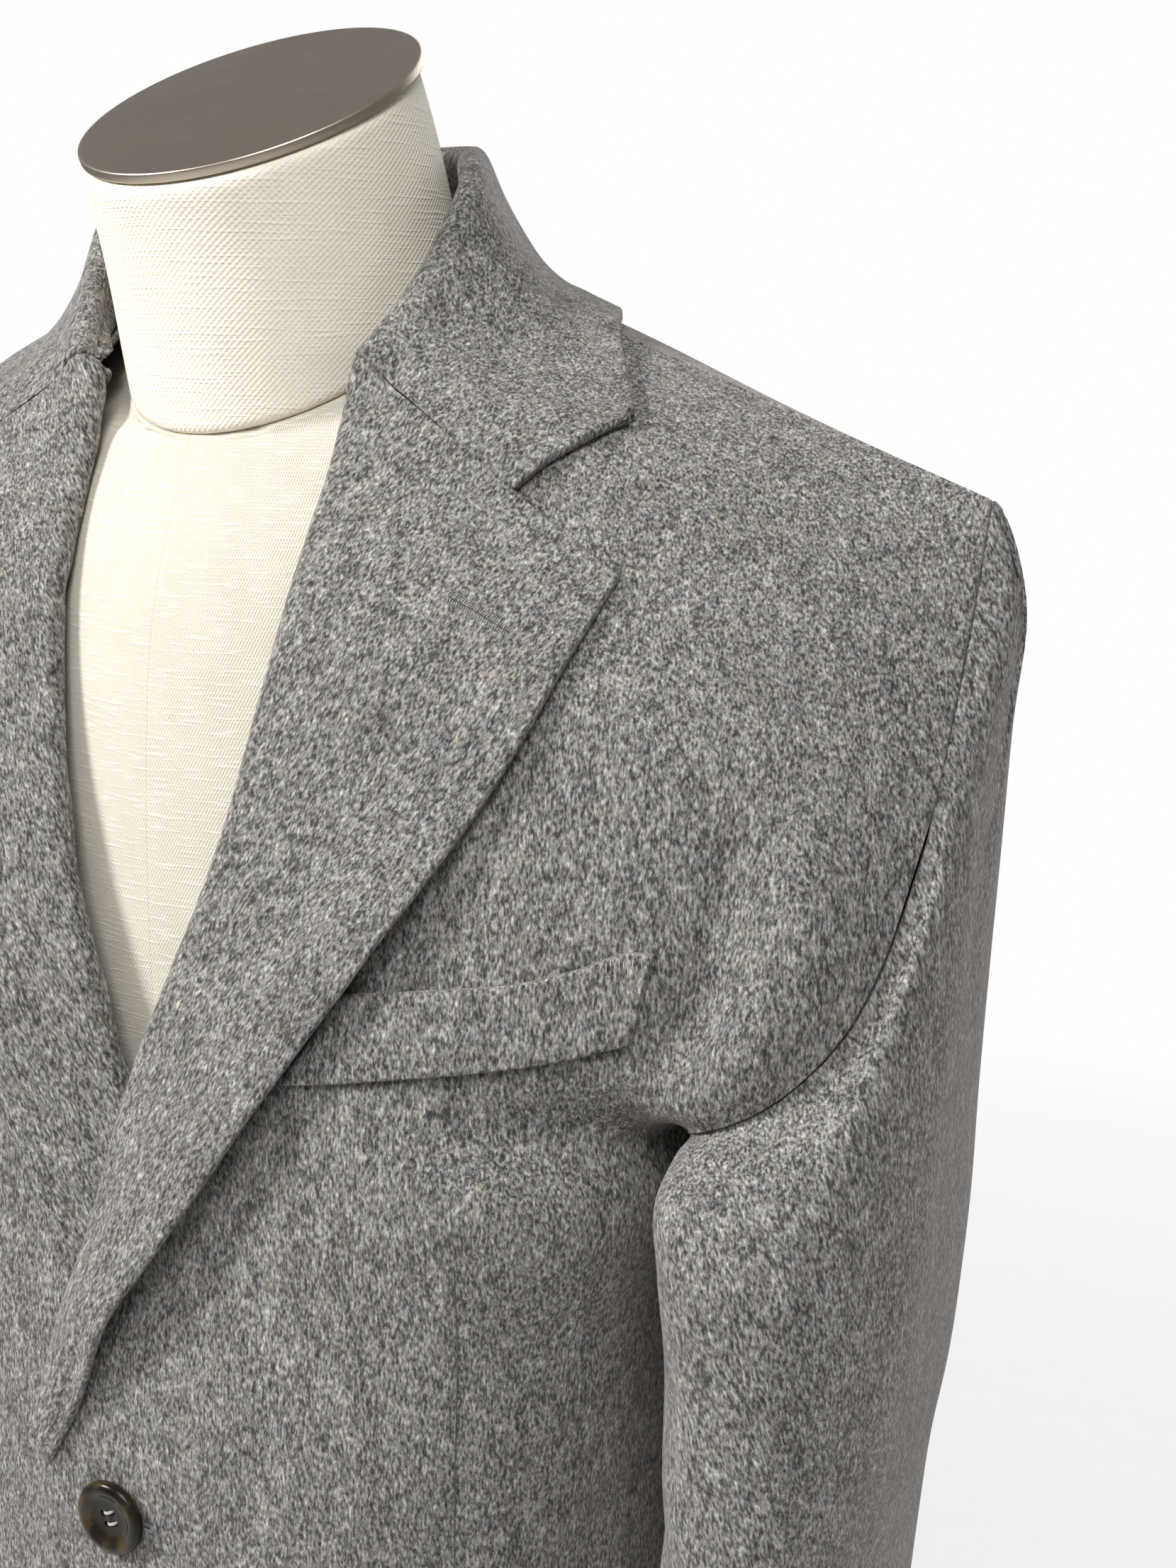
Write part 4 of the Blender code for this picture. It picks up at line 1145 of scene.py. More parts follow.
    def lie_on(self, below: Piece, height: float) -> None:
        """Lift the sheet where it comes nearer to the piece below than a height."""
        tree = surface_tree(below)
        places = coordinates(self.piece)
        normals = vertex_normals(self.piece)
        lifts = np.zeros(len(places))
        for i, place in enumerate(places):
            found, facing, _, gap = tree.find_nearest(Vector(place), height + self.LAID_NEAR)
            alike = facing.dot(Vector(normals[i])) if found is not None else 0.0
            if alike < self.LAID_FACING:
                continue
            above = (Vector(place) - found).dot(facing)
            if -self.LAID_DEPTH < above < height and gap < abs(above) + 0.002:
                lifts[i] = (height - above) / alike
        ends = np.array([edge.vertices[:] for edge in self.piece.data.edges])
        shares = np.bincount(ends.ravel(), minlength=len(lifts))

        def around() -> np.ndarray:
            """Mean of the lifts around each vertex."""
            sums = np.bincount(ends[:, 0], lifts[ends[:, 1]], len(lifts))
            return (sums + np.bincount(ends[:, 1], lifts[ends[:, 0]], len(lifts))) / shares

        for _ in range(self.LAID_PASSES[0]):
            lifts = np.maximum(lifts, around())
        for _ in range(self.LAID_PASSES[1]):
            lifts = 0.5 * (lifts + around())
        set_coordinates(self.piece, places + normals * lifts[:, None])

    def meet(self, marks: list[Vector], reach: float = 0.0048, gap: float = 0.0002,
             spread: float = 0.010) -> None:
        """Draw its edge to the edge that it is sewn to, where it looks to the front.

        Args:
            marks: places along the other edge.
            reach: how far its edge may have to come.
            gap: what stays between the edges.
            spread: how far from the edge the cloth follows.
        """
        other = point_tree(marks)
        work = bmesh.new()
        work.from_mesh(self.piece.data)
        border = [(v.co.copy(), v.normal.y) for v in work.verts if v.is_boundary]
        work.free()
        shifts = []
        for place, aside in border:
            target, _, far = other.find(place)
            share = smooth_step(np.array(((reach - far) / (0.3 * reach), (-0.15 - aside) / 0.3)))
            way = target + (place - target) * (gap / max(far, gap)) - place
            shifts.append(np.array(way) * float(share.prod()))
        own = point_tree([place for place, _ in border])
        places = coordinates(self.piece)
        for i, place in enumerate(places):
            _, index, far = own.find(Vector(place))
            if far < spread:
                places[i] += shifts[index] * float(smooth_step(np.array(1 - far / spread)))
        set_coordinates(self.piece, places)

    def edge_distance(self) -> np.ndarray:
        """Distance of each vertex to the sheet's edge."""
        work = bmesh.new()
        work.from_mesh(self.piece.data)
        self.edge_marks = []
        for edge in work.edges:
            if edge.is_boundary:
                first, last = (v.co for v in edge.verts)
                steps = max(1, int((last - first).length / self.MARK_STEP))
                self.edge_marks += [first.lerp(last, k / steps) for k in range(steps)]
        tree = point_tree(self.edge_marks)
        distance = np.array([tree.find(v.co)[2] for v in work.verts])
        work.free()
        return distance

    def thicken(self) -> None:
        """Turn the sheet into a closed shell with rounded outer edges."""
        distance = self.edge_distance()
        normals = vertex_normals(self.piece)
        count = len(normals)
        wall = self.piece.modifiers.new("wall", "SOLIDIFY")
        wall.thickness = self.cloth
        wall.offset = -1.0
        apply_modifiers(self.piece)
        places = coordinates(self.piece)
        radius = np.full(count, self.edge_round)
        start, width = self.SEWN_BAND
        for first, last in (np.array(line) for line in self.sewn):
            run = last - first
            share = np.clip(((places[:count] - first) @ run) / (run @ run), 0.0, 1.0)
            far = np.linalg.norm(places[:count] - first - share[:, None] * run, axis=1)
            radius *= 0.25 + 0.75 * smooth_step((far - start) / width)
        inside = np.clip(radius - distance, 0.0, radius)
        drop = radius - np.sqrt(np.maximum(radius ** 2 - inside ** 2, 0.0))
        places[:count] -= normals * drop[:, None]
        set_coordinates(self.piece, places)


# ---------------------------------------------------------------- the coat
@dataclass
class Coat:
    """The coat's cloth: panels, sleeves, lapels, collar and welt."""

    cloth: float = 0.0022
    lapel_cloth: float = 0.0025
    welt_cloth: float = 0.0028
    pieces: dict[str, Piece] = field(default_factory=dict)
    wools: dict[str, Material] = field(default_factory=dict)
    lapels: list[ClothShell] = field(default_factory=list)

    SIDES = (("left", 1.0), ("right", -1.0))
    LEANS = {"upright": 0.0, "lapel_left": 24.0, "lapel_right": -24.0,   # nap, degrees
             "sleeve_left": -16.0, "sleeve_right": 16.0}
    GORGES = tuple(((sign * 0.060, -0.060, 1.475), (sign * 0.124, -0.069, 1.436))
                   for sign in (1.0, -1.0))
    # Swells: centre x, y, z; radii x, y, z; shift x, y, z; held.
    ARM_SWELLS = (               # fullness in front of the arm, on the front and the sleeve
        (0.230, -0.080, 1.318, 0.017, 0.030, 0.036, 0.0, -0.0085, 0.0, 0.0001),
        (0.217, -0.092, 1.264, 0.018, 0.030, 0.034, 0.0, -0.0095, 0.0, 0.0001),
        (0.200, -0.094, 1.236, 0.018, 0.032, 0.024, -0.0075, -0.0135, 0.0, 0.0001),
    )
    FRONT_SWELLS = ((0.170, -0.078, 1.214, 0.027, 0.040, 0.028, 0.002, -0.018, 0.0),)
    SLEEVE_SWELLS = (
        (0.206, -0.104, 1.222, 0.026, 0.036, 0.036, -0.003, -0.009, 0.002, 0.006),
        (0.262, -0.010, 1.395, 0.030, 0.060, 0.022, 0.003, 0.0, 0.001, 0.008),
    )
    # Creases: start x, y, z; middle x, y, z; end x, y, z; width, depth; fade.
    FRONT_CREASES = (            # the last one is the dart
        (0.105, -0.135, 1.120, 0.125, -0.130, 1.000, 0.118, -0.135, 0.840, 0.030, 0.0014),
        (0.060, -0.150, 0.860, 0.070, -0.158, 0.680, 0.075, -0.165, 0.500, 0.026, 0.0034, 0.6),
        (0.120, -0.140, 0.840, 0.130, -0.148, 0.660, 0.132, -0.152, 0.500, 0.024, -0.0042, 0.6),
        (0.175, -0.080, 0.880, 0.185, -0.090, 0.700, 0.190, -0.095, 0.500, 0.022, 0.0036, 0.6),
        (0.178, -0.040, 1.110, 0.160, -0.100, 1.075, 0.135, -0.125, 1.065, 0.012, 0.0016),
        (0.165, -0.100, 1.170, 0.150, -0.120, 1.080, 0.140, -0.130, 0.960, 0.018, -0.0013),
        (0.217, -0.079, 1.350, 0.2005, -0.0908, 1.293, 0.195, -0.0925, 1.240, 0.007, 0.005),
        (0.120, -0.085, 1.408, 0.150, -0.097, 1.352, 0.158, -0.108, 1.300, 0.030, 0.0016),
        (0.134, -0.120, 1.200, 0.131, -0.125, 1.130, 0.126, -0.130, 1.010, 0.003, 0.0008, 0.12),
    )
    BACK_CREASES = (
        (0.020, 0.105, 1.120, 0.050, 0.112, 1.060, 0.100, 0.100, 1.020, 0.014, 0.0016),
        (-0.030, 0.106, 1.100, -0.070, 0.108, 1.050, -0.120, 0.090, 1.010, 0.016, 0.0018),
        (0.110, 0.100, 1.300, 0.060, 0.120, 1.260, 0.030, 0.118, 1.200, 0.020, 0.0014),
        (-0.100, 0.100, 1.310, -0.050, 0.120, 1.250, -0.020, 0.118, 1.180, 0.018, 0.0012),
        (0.0, 0.123, 1.480, 0.0, 0.105, 1.080, 0.0, 0.158, 0.510, 0.003, 0.0009, 0.02),
        (0.175, 0.060, 1.250, 0.150, 0.080, 1.190, 0.120, 0.095, 1.150, 0.012, 0.0026),
        (-0.178, 0.060, 1.240, -0.150, 0.082, 1.175, -0.110, 0.098, 1.140, 0.013, 0.0024),
        (0.060, 0.125, 0.920, 0.075, 0.135, 0.700, 0.090, 0.145, 0.500, 0.026, -0.0048, 0.6),
        (-0.050, 0.125, 0.900, -0.075, 0.135, 0.690, -0.095, 0.145, 0.500, 0.028, -0.0044, 0.6),
        (0.015, 0.130, 0.860, 0.012, 0.142, 0.680, 0.020, 0.155, 0.500, 0.024, 0.004, 0.6),
        (0.130, 0.100, 0.840, 0.145, 0.110, 0.660, 0.150, 0.115, 0.500, 0.022, 0.0036, 0.6),
        (-0.130, 0.100, 0.860, -0.140, 0.110, 0.680, -0.148, 0.115, 0.500, 0.024, 0.004, 0.6),
        (0.085, 0.112, 1.130, 0.060, 0.114, 1.075, 0.010, 0.110, 1.050, 0.010, 0.0022),
        (-0.090, 0.110, 1.180, -0.120, 0.098, 1.120, -0.150, 0.070, 1.090, 0.013, 0.002),
    )
    SLEEVE_CREASES = (           # breaks at the inner elbow, then a drag line below the head
        (0.190, -0.080, 1.120, 0.205, -0.125, 1.100, 0.240, -0.115, 1.070, 0.014, 0.002),
        (0.188, -0.060, 1.060, 0.205, -0.130, 1.040, 0.238, -0.125, 1.020, 0.012, 0.0022),
        (0.192, -0.070, 1.000, 0.210, -0.135, 0.985, 0.236, -0.120, 0.975, 0.016, 0.0016),
        (0.262, -0.040, 1.330, 0.268, -0.060, 1.220, 0.252, -0.090, 1.110, 0.020, -0.0016),
        (0.240, 0.020, 1.150, 0.250, 0.035, 1.050, 0.240, 0.0, 0.950, 0.018, 0.0015),
    )
    LAPEL_CREASES = (            # the roll, then the hollow beside it
        (0.128, -0.100, 1.350, 0.052, -0.132, 1.232, -0.016, -0.150, 1.110, 0.019, -0.010, 0.22),
        (0.030, -0.110, 1.330, 0.010, -0.130, 1.250, -0.012, -0.145, 1.150, 0.014, 0.0012),
    )

    def build(self) -> None:
        """Make the coat's pieces in the order in which they lie on each other."""
        for name, lean in self.LEANS.items():
            self.wools[name] = MelangeWool(f"wool_{name}", lean).build()
        for side, sign in self.SIDES:
            self.make_front(side, sign)
        self.make_back()
        for side, sign in self.SIDES:
            self.make_sleeve(side, sign)
        for side, sign in self.SIDES:
            self.make_lapel(side, sign)
        self.make_collar()
        self.make_welt()

    def keep(self, piece: Piece, wool: str, node: str, flat: tuple[float, float], area: float,
             rests_on: list[str]) -> None:
        """Dress a cloth piece and declare its cut.

        Args:
            piece: the shell.
            wool: the name of its wool.
            node: the CAD node that it stands for.
            flat: width and length of the cloth that it is cut from; not used.
            area: area of the cut; not used.
            rests_on: what it lies on or hangs from; not used.
        """
        finish_piece(piece, self.wools[wool], (node,))
        self.pieces[node] = piece

    def make_front(self, side: str, sign: float) -> None:
        """One front panel, with the soft creases that the photograph shows."""
        creases = crease_rows(self.FRONT_CREASES, sign, 1.0 if sign > 0 else 1.15)
        shell = ClothShell(f"front_{side}", self.cloth, (sign * 0.10, -1.0, 0.80),
                           creases=creases,
                           swells=swell_rows(self.ARM_SWELLS + self.FRONT_SWELLS, sign),
                           eased=(((sign * 0.170, -0.085, 1.228), 0.034),))
        self.keep(shell.build(), "upright", shell.node, (0.42, 1.06), 0.300, ["form_torso"])

    def make_back(self) -> None:
        """The back, with creases like those of the front."""
        shell = ClothShell("back", self.cloth, (0.0, 1.0, 0.80), WallKind.HALF,
                           creases=crease_rows(self.BACK_CREASES))
        self.keep(shell.build(), "upright", shell.node, (0.66, 1.06), 0.505, ["form_torso"])

    def make_sleeve(self, side: str, sign: float) -> None:
        """One sleeve: soft breaks at the inner elbow and a long drag line below the head."""
        creases = crease_rows(self.SLEEVE_CREASES, sign, deeper=1.0 if sign > 0 else 0.8)
        shell = ClothShell(f"sleeve_{side}", self.cloth, (sign * 1.0, -0.05, 1.05),
                           WallKind.TUBE, reach=0.00075, creases=creases,
                           swells=swell_rows(self.ARM_SWELLS + self.SLEEVE_SWELLS, sign))
        self.keep(shell.build(), f"sleeve_{side}", shell.node, (0.42, 0.64), 0.189,
                  [f"front_{side}", "back"])

    def close_shell(self, node: str, outside: Point, **looks: object) -> ClothShell:
        """Shell of a piece that lies close before the eye: lapel or collar."""
        return ClothShell(node, self.lapel_cloth, outside, cell=0.0028, passes=2,
                          unevenness=0.0003, edge_round=0.0012, sewn=self.GORGES, **looks)

    def make_lapel(self, side: str, sign: float) -> None:
        """One lapel, rolled back over its front."""
        roll_end = Swell((sign * 0.061 + 0.001, -0.061, 1.4725), (0.011, 0.012, 0.008),
                         (sign * 0.0012, -0.003, 0.0034), 0.0001)
        shell = self.close_shell(f"lapel_{side}", (sign * 0.10, -1.0, 1.35), swells=(roll_end,),
                                 creases=crease_rows(self.LAPEL_CREASES, sign))
        self.lapels.append(shell)
        self.keep(shell.build((self.pieces[f"front_{side}"],)), f"lapel_{side}", shell.node,
                  (0.16, 0.40), 0.0325, [f"front_{side}"])

    def make_collar(self) -> None:
        """The collar, folded over its stand."""
        shell = self.close_shell("collar", (0.0, 1.0, 1.55))
        below = tuple(self.pieces[n] for n in ("front_left", "front_right", "back"))
        self.keep(shell.build(below, joins=tuple(self.lapels)), "lapel_left", shell.node,
                  (0.50, 0.13), 0.046, ["back"])

    def make_welt(self) -> None:
        """The chest pocket's welt."""
        shell = ClothShell("chest_welt", self.welt_cloth, (0.14, -1.0, 1.28), cell=0.0020,
                           passes=1, unevenness=0.0, edge_round=0.0013)
        self.keep(shell.build((self.pieces["front_left"],), 0.0003), "upright", shell.node,
                  (0.125, 0.034), 0.0031, ["front_left"])


# ---------------------------------------------------------------- form and stand
@dataclass
class DressForm:
    """Torso and neck in linen, and the steel cap on the neck."""

    levels: int = 3
    torso_radius: float = 0.165      # mean radii, on which the linen's map is wound
    neck_radius: float = 0.062
    sharp_edge: float = math.radians(48.0)
    cap_centre: Point = (0.0, -0.0333, 1.5585)
    cap_size: Point = (0.0601, 0.0633, 0.0035)   # half width, half depth and thickness
    cap_tilt: float = math.radians(27.0)
    cap_bevel: float = 0.0008
    cap_rim: float = 0.0012          # width of the flat rim round its raised top
    cap_raise: float = 0.00008

    def build(self) -> None:
        """Make the form's pieces."""
        # The torso's linen is the neck's linen made darker: painted shade on the chest.
        torso = FormLinen("linen_torso_weave_shaded", colour=(0.635, 0.585, 0.485), seam_strength=0.6)
        self.body("form_torso", "torso_linen", self.torso_radius, torso.build())
        self.body("form_neck", "neck_linen", self.neck_radius,
                  FormLinen("linen_neck_weave").build())
        self.cap(BrushedSteel("cap_steel").build())

    def body(self, node: str, name: str, radius: float, linen: Material) -> None:
        """Smooth copy of a body of the form.

        Args:
            node: the CAD node that it stands for.
            name: the piece's name.
            radius: mean radius, on which its map is wound.
            linen: its material.
        """
        mesh = bpy.data.objects[node].data.copy()
        mesh.name = name
        work = bmesh.new()
        work.from_mesh(mesh)
        bmesh.ops.remove_doubles(work, verts=work.verts, dist=SAME_PLACE)
        bmesh.ops.join_triangles(work, faces=work.faces, angle_face_threshold=math.radians(40.0),
                                 angle_shape_threshold=math.radians(75.0))
        crease = work.edges.layers.float.new("crease_edge")
        for edge in work.edges:
            if edge.calc_face_angle(0.0) > self.sharp_edge:
                edge[crease] = 0.95
        work.to_mesh(mesh)
        work.free()
        piece = new_object(name, mesh)
        subdivide = piece.modifiers.new("smooth", "SUBSURF")
        subdivide.levels = self.levels
        subdivide.render_levels = self.levels
        apply_modifiers(piece)
        piece.data.shade_smooth()
        self.wind_map(piece, radius)
        finish_piece(piece, linen, (node,))

    @staticmethod
    def wind_map(piece: Piece, radius: float) -> None:
        """Map of the surface in metres: round the form and up it."""
        layer = piece.data.uv_layers.new(name="cloth_map")
        places = coordinates(piece)
        for face in piece.data.polygons:
            turns = [math.atan2(places[v][0], -(places[v][1] + 0.015)) for v in face.vertices]
            base = turns[0]
            for loop, vertex, turn in zip(face.loop_indices, face.vertices, turns):
                if turn - base > math.pi:
                    turn -= 2 * math.pi
                elif base - turn > math.pi:
                    turn += 2 * math.pi
                layer.data[loop].uv = (turn * radius, places[vertex][2])

    def cap(self, steel: Material) -> None:
        """The neck's oval plate, with a rounded rim."""
        clear_selection()
        bpy.ops.mesh.primitive_cylinder_add(vertices=160, radius=1.0, depth=1.0)
        plate = bpy.context.object
        plate.name = "neck_cap_plate"
        bpy.ops.object.mode_set(mode="EDIT")
        bpy.ops.mesh.select_all(action="SELECT")
        bpy.ops.transform.resize(value=self.cap_size)
        bpy.ops.object.mode_set(mode="OBJECT")
        round_edges(plate, self.cap_bevel, 3, 50.0)
        bpy.ops.object.mode_set(mode="EDIT")
        bpy.ops.mesh.select_all(action="DESELECT")
        bpy.ops.object.mode_set(mode="OBJECT")
        for face in plate.data.polygons:
            face.select = face.normal.z > 0.99 and face.area > 1e-4
        bpy.ops.object.mode_set(mode="EDIT")
        bpy.ops.mesh.inset(thickness=self.cap_rim)
        bpy.ops.transform.translate(value=(0.0, 0.0, self.cap_raise))
        bpy.ops.object.mode_set(mode="OBJECT")
        up = Vector((0.0, -math.sin(self.cap_tilt), math.cos(self.cap_tilt)))
        plate.data.transform(Matrix.Rotation(self.cap_tilt, 4, "X"))
        plate.data.transform(Matrix.Translation(Vector(self.cap_centre) + up * 0.0003))
        make_active(plate)
        bpy.ops.object.shade_smooth_by_angle(angle=math.radians(35.0))
        finish_piece(plate, steel, ("neck_cap",))


@dataclass
class Stand:
    """Pole and round foot."""

    foot_profile: tuple[tuple[float, float], ...] = (
        (0.0, 0.0), (0.167, 0.0), (0.170, 0.003), (0.170, 0.009), (0.167, 0.012),
        (0.040, 0.018), (0.028, 0.024), (0.026, 0.052), (0.023, 0.055), (0.0, 0.055),
    )
    pole_profile: tuple[tuple[float, float], ...] = (
        (0.0, 0.0553), (0.0140, 0.0553), (0.0140, 0.7717), (0.0180, 0.7917), (0.0430, 0.7917),
        (0.0450, 0.7937), (0.0450, 0.7997), (0.0, 0.7997),
    )

    def build(self) -> None:
        """Make both pieces."""
        steel = BrushedSteel("stand_steel", stretch=(1.0, 1.0, 60.0)).build()
        self.turned("stand_foot", "foot_plate", self.foot_profile, 144, 0.0012, steel)
        self.turned("stand_pole", "pole_tube", self.pole_profile, 72, 0.0008, steel)

    @staticmethod
    def turned(node: str, name: str, profile: tuple[tuple[float, float], ...], steps: int,
               round_edge: float, steel: Material) -> None:
        """Body spun from a profile of radius and height.

        Args:
            node: the CAD node that it stands for.
            name: the piece's name.
            profile: radius and height of each corner.
            steps: how many sides it has.
            round_edge: radius of its rounded edges.
            steel: its material.
        """
        clear_selection()
        mesh = bpy.data.meshes.new(name)
        mesh.from_pydata([(r, 0.0, z) for r, z in profile],
                         [(i, i + 1) for i in range(len(profile) - 1)], [])
        piece = new_object(name, mesh)
        make_active(piece)
        bpy.ops.object.mode_set(mode="EDIT")
        bpy.ops.mesh.select_all(action="SELECT")
        bpy.ops.mesh.spin(steps=steps, angle=math.tau, center=(0.0, 0.0, 0.0),
                          axis=(0.0, 0.0, 1.0))
        bpy.ops.mesh.select_all(action="SELECT")
        bpy.ops.mesh.remove_doubles(threshold=1e-6)
        bpy.ops.mesh.normals_make_consistent(inside=False)
        bpy.ops.object.mode_set(mode="OBJECT")
        round_edges(piece, round_edge, 2, 24.0)
        bpy.ops.object.shade_smooth_by_angle(angle=math.radians(35.0))
        finish_piece(piece, steel, (node,))


# ---------------------------------------------------------------- buttons and sewing
@dataclass
class Buttons:
    """Horn buttons with a raised rim, four holes and their thread."""

    radius: float = 0.0140
    height: float = 0.0046
    hole_radius: float = 0.00105
    hole_spacing: float = 0.0043
    stand_off: float = 0.0006
    sides: int = 96
    worn: float = 0.00018            # rounding of its edges
    thread_radius: float = 0.00022
    thread_gap: float = 0.00034
    turns: tuple[float, float, float] = (0.35, 0.35 + 1.1, 0.35 + 1.1 * 2)
    profile: tuple[tuple[float, float], ...] = (     # shares of the radius and the height
        (0.30, 0.58), (0.48, 0.60), (0.60, 0.70), (0.68, 0.90), (0.78, 1.00), (0.88, 0.97),
        (0.96, 0.82), (1.00, 0.55), (0.98, 0.25), (0.90, 0.05), (0.80, 0.00), (0.30, 0.00),
    )

    def build(self, coat: Coat) -> None:
        """Make the buttons on the left front."""
        horn = PolishedHorn("button_horn_polished").build()
        thread = SewingThread("button_thread", (0.50, 0.46, 0.40)).build()
        tree = surface_tree(coat.pieces["front_left"])
        for name, angle in zip(("button_top", "button_middle", "button_lower"), self.turns):
            low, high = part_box(name)
            centre = (low + high) / 2
            found, facing, _, _ = tree.ray_cast(Vector((centre.x, centre.y - 0.2, centre.z)),
                                                Vector((0.0, 1.0, 0.0)))
            seat = self.seat_height(tree, found, facing)
            turn = facing.to_track_quat("Z", "Y").to_matrix().to_4x4()
            place = Matrix.Translation(found + facing * seat) @ turn
            body = self.body(name + "_horn")
            sewn = self.stitches(name + "_thread")
            for piece in (body, sewn):
                piece.data.transform(Matrix.Rotation(angle, 4, "Z"))
                piece.data.transform(place)
            finish_piece(body, horn, (name,))
            finish_piece(sewn, thread)

    def seat_height(self, tree: BVHTree, centre: Vector, facing: Vector) -> float:
        """How far the button's back lies off its centre point to clear the cloth."""
        turn = facing.to_track_quat("Z", "Y").to_matrix()
        highest = 0.0
        for k in range(24):
            angle = k * math.tau / 24
            spoke = turn @ Vector((math.cos(angle), math.sin(angle), 0.0))
            rim = centre + spoke * self.radius * 0.9
            hit, _, _, _ = tree.ray_cast(rim + facing * 0.02, -facing, 0.04)
            if hit is not None:
                highest = max(highest, (hit - centre).dot(facing))
        return highest + self.stand_off

    def body(self, name: str) -> Piece:
        """One button, lying on its back at the origin."""
        clear_selection()
        bpy.ops.mesh.primitive_circle_add(
            vertices=self.sides, radius=self.profile[0][0] * self.radius,
            location=(0.0, 0.0, self.profile[0][1] * self.height), fill_type="NGON")
        button = bpy.context.object
        button.name = name
        settle_transform(button)
        bpy.ops.object.mode_set(mode="EDIT")
        bpy.ops.mesh.select_mode(type="EDGE")
        bpy.ops.mesh.select_all(action="SELECT")
        bpy.ops.mesh.region_to_loop()
        for before, after in zip(self.profile, self.profile[1:]):
            bpy.ops.mesh.select_mode(type="EDGE")
            bpy.ops.mesh.extrude_edges_move()
            bpy.ops.transform.resize(value=(after[0] / before[0], after[0] / before[0], 1.0),
                                     center_override=(0.0, 0.0, 0.0))
            bpy.ops.transform.translate(value=(0.0, 0.0, (after[1] - before[1]) * self.height))
        bpy.ops.mesh.edge_face_add()
        bpy.ops.mesh.select_all(action="SELECT")
        bpy.ops.mesh.remove_doubles(threshold=1e-7)
        bpy.ops.mesh.normals_make_consistent(inside=False)
        bpy.ops.object.mode_set(mode="OBJECT")
        drills = [self.drill(x, y) for x in (-0.5, 0.5) for y in (-0.5, 0.5)]
        for drill in drills:
            cut = button.modifiers.new("hole", "BOOLEAN")
            cut.operation = "DIFFERENCE"
            cut.object = drill
        apply_modifiers(button)
        for drill in drills:
            bpy.data.objects.remove(drill, do_unlink=True)
        round_edges(button, self.worn, 2, 50.0)
        bpy.ops.object.shade_smooth_by_angle(angle=math.radians(40.0))
        return button

    def drill(self, x: float, y: float) -> Piece:
        """Round bar through one hole."""
        clear_selection()
        bpy.ops.mesh.primitive_cylinder_add(
            vertices=24, radius=self.hole_radius, depth=4 * self.height,
            location=(x * self.hole_spacing, y * self.hole_spacing, 0.0))
        return bpy.context.object

    def stitches(self, name: str) -> Piece:
        """Thread over the bridge between the holes, and down into them."""
        strands = []
        top = self.profile[0][1] * self.height
        half = self.hole_spacing / 2
        for line, across in enumerate((-half, half)):
            for offset in (-self.thread_gap, 0.0, self.thread_gap):
                route = ((-half - 0.0004, -0.0004), (-half, top - 0.0004),
                         (-half * 0.55, top + 0.00035), (0.0, top + 0.0004 + 0.0001 * line),
                         (half * 0.55, top + 0.00035), (half, top - 0.0004),
                         (half + 0.0004, -0.0004))
                places = [(x, across + offset, z) for x, z in route]
                strands.append(swept_thread(name, "NURBS", places, self.thread_radius, 2))
        sewn = join_pieces(strands, name)
        sewn.data.shade_smooth()
        return sewn


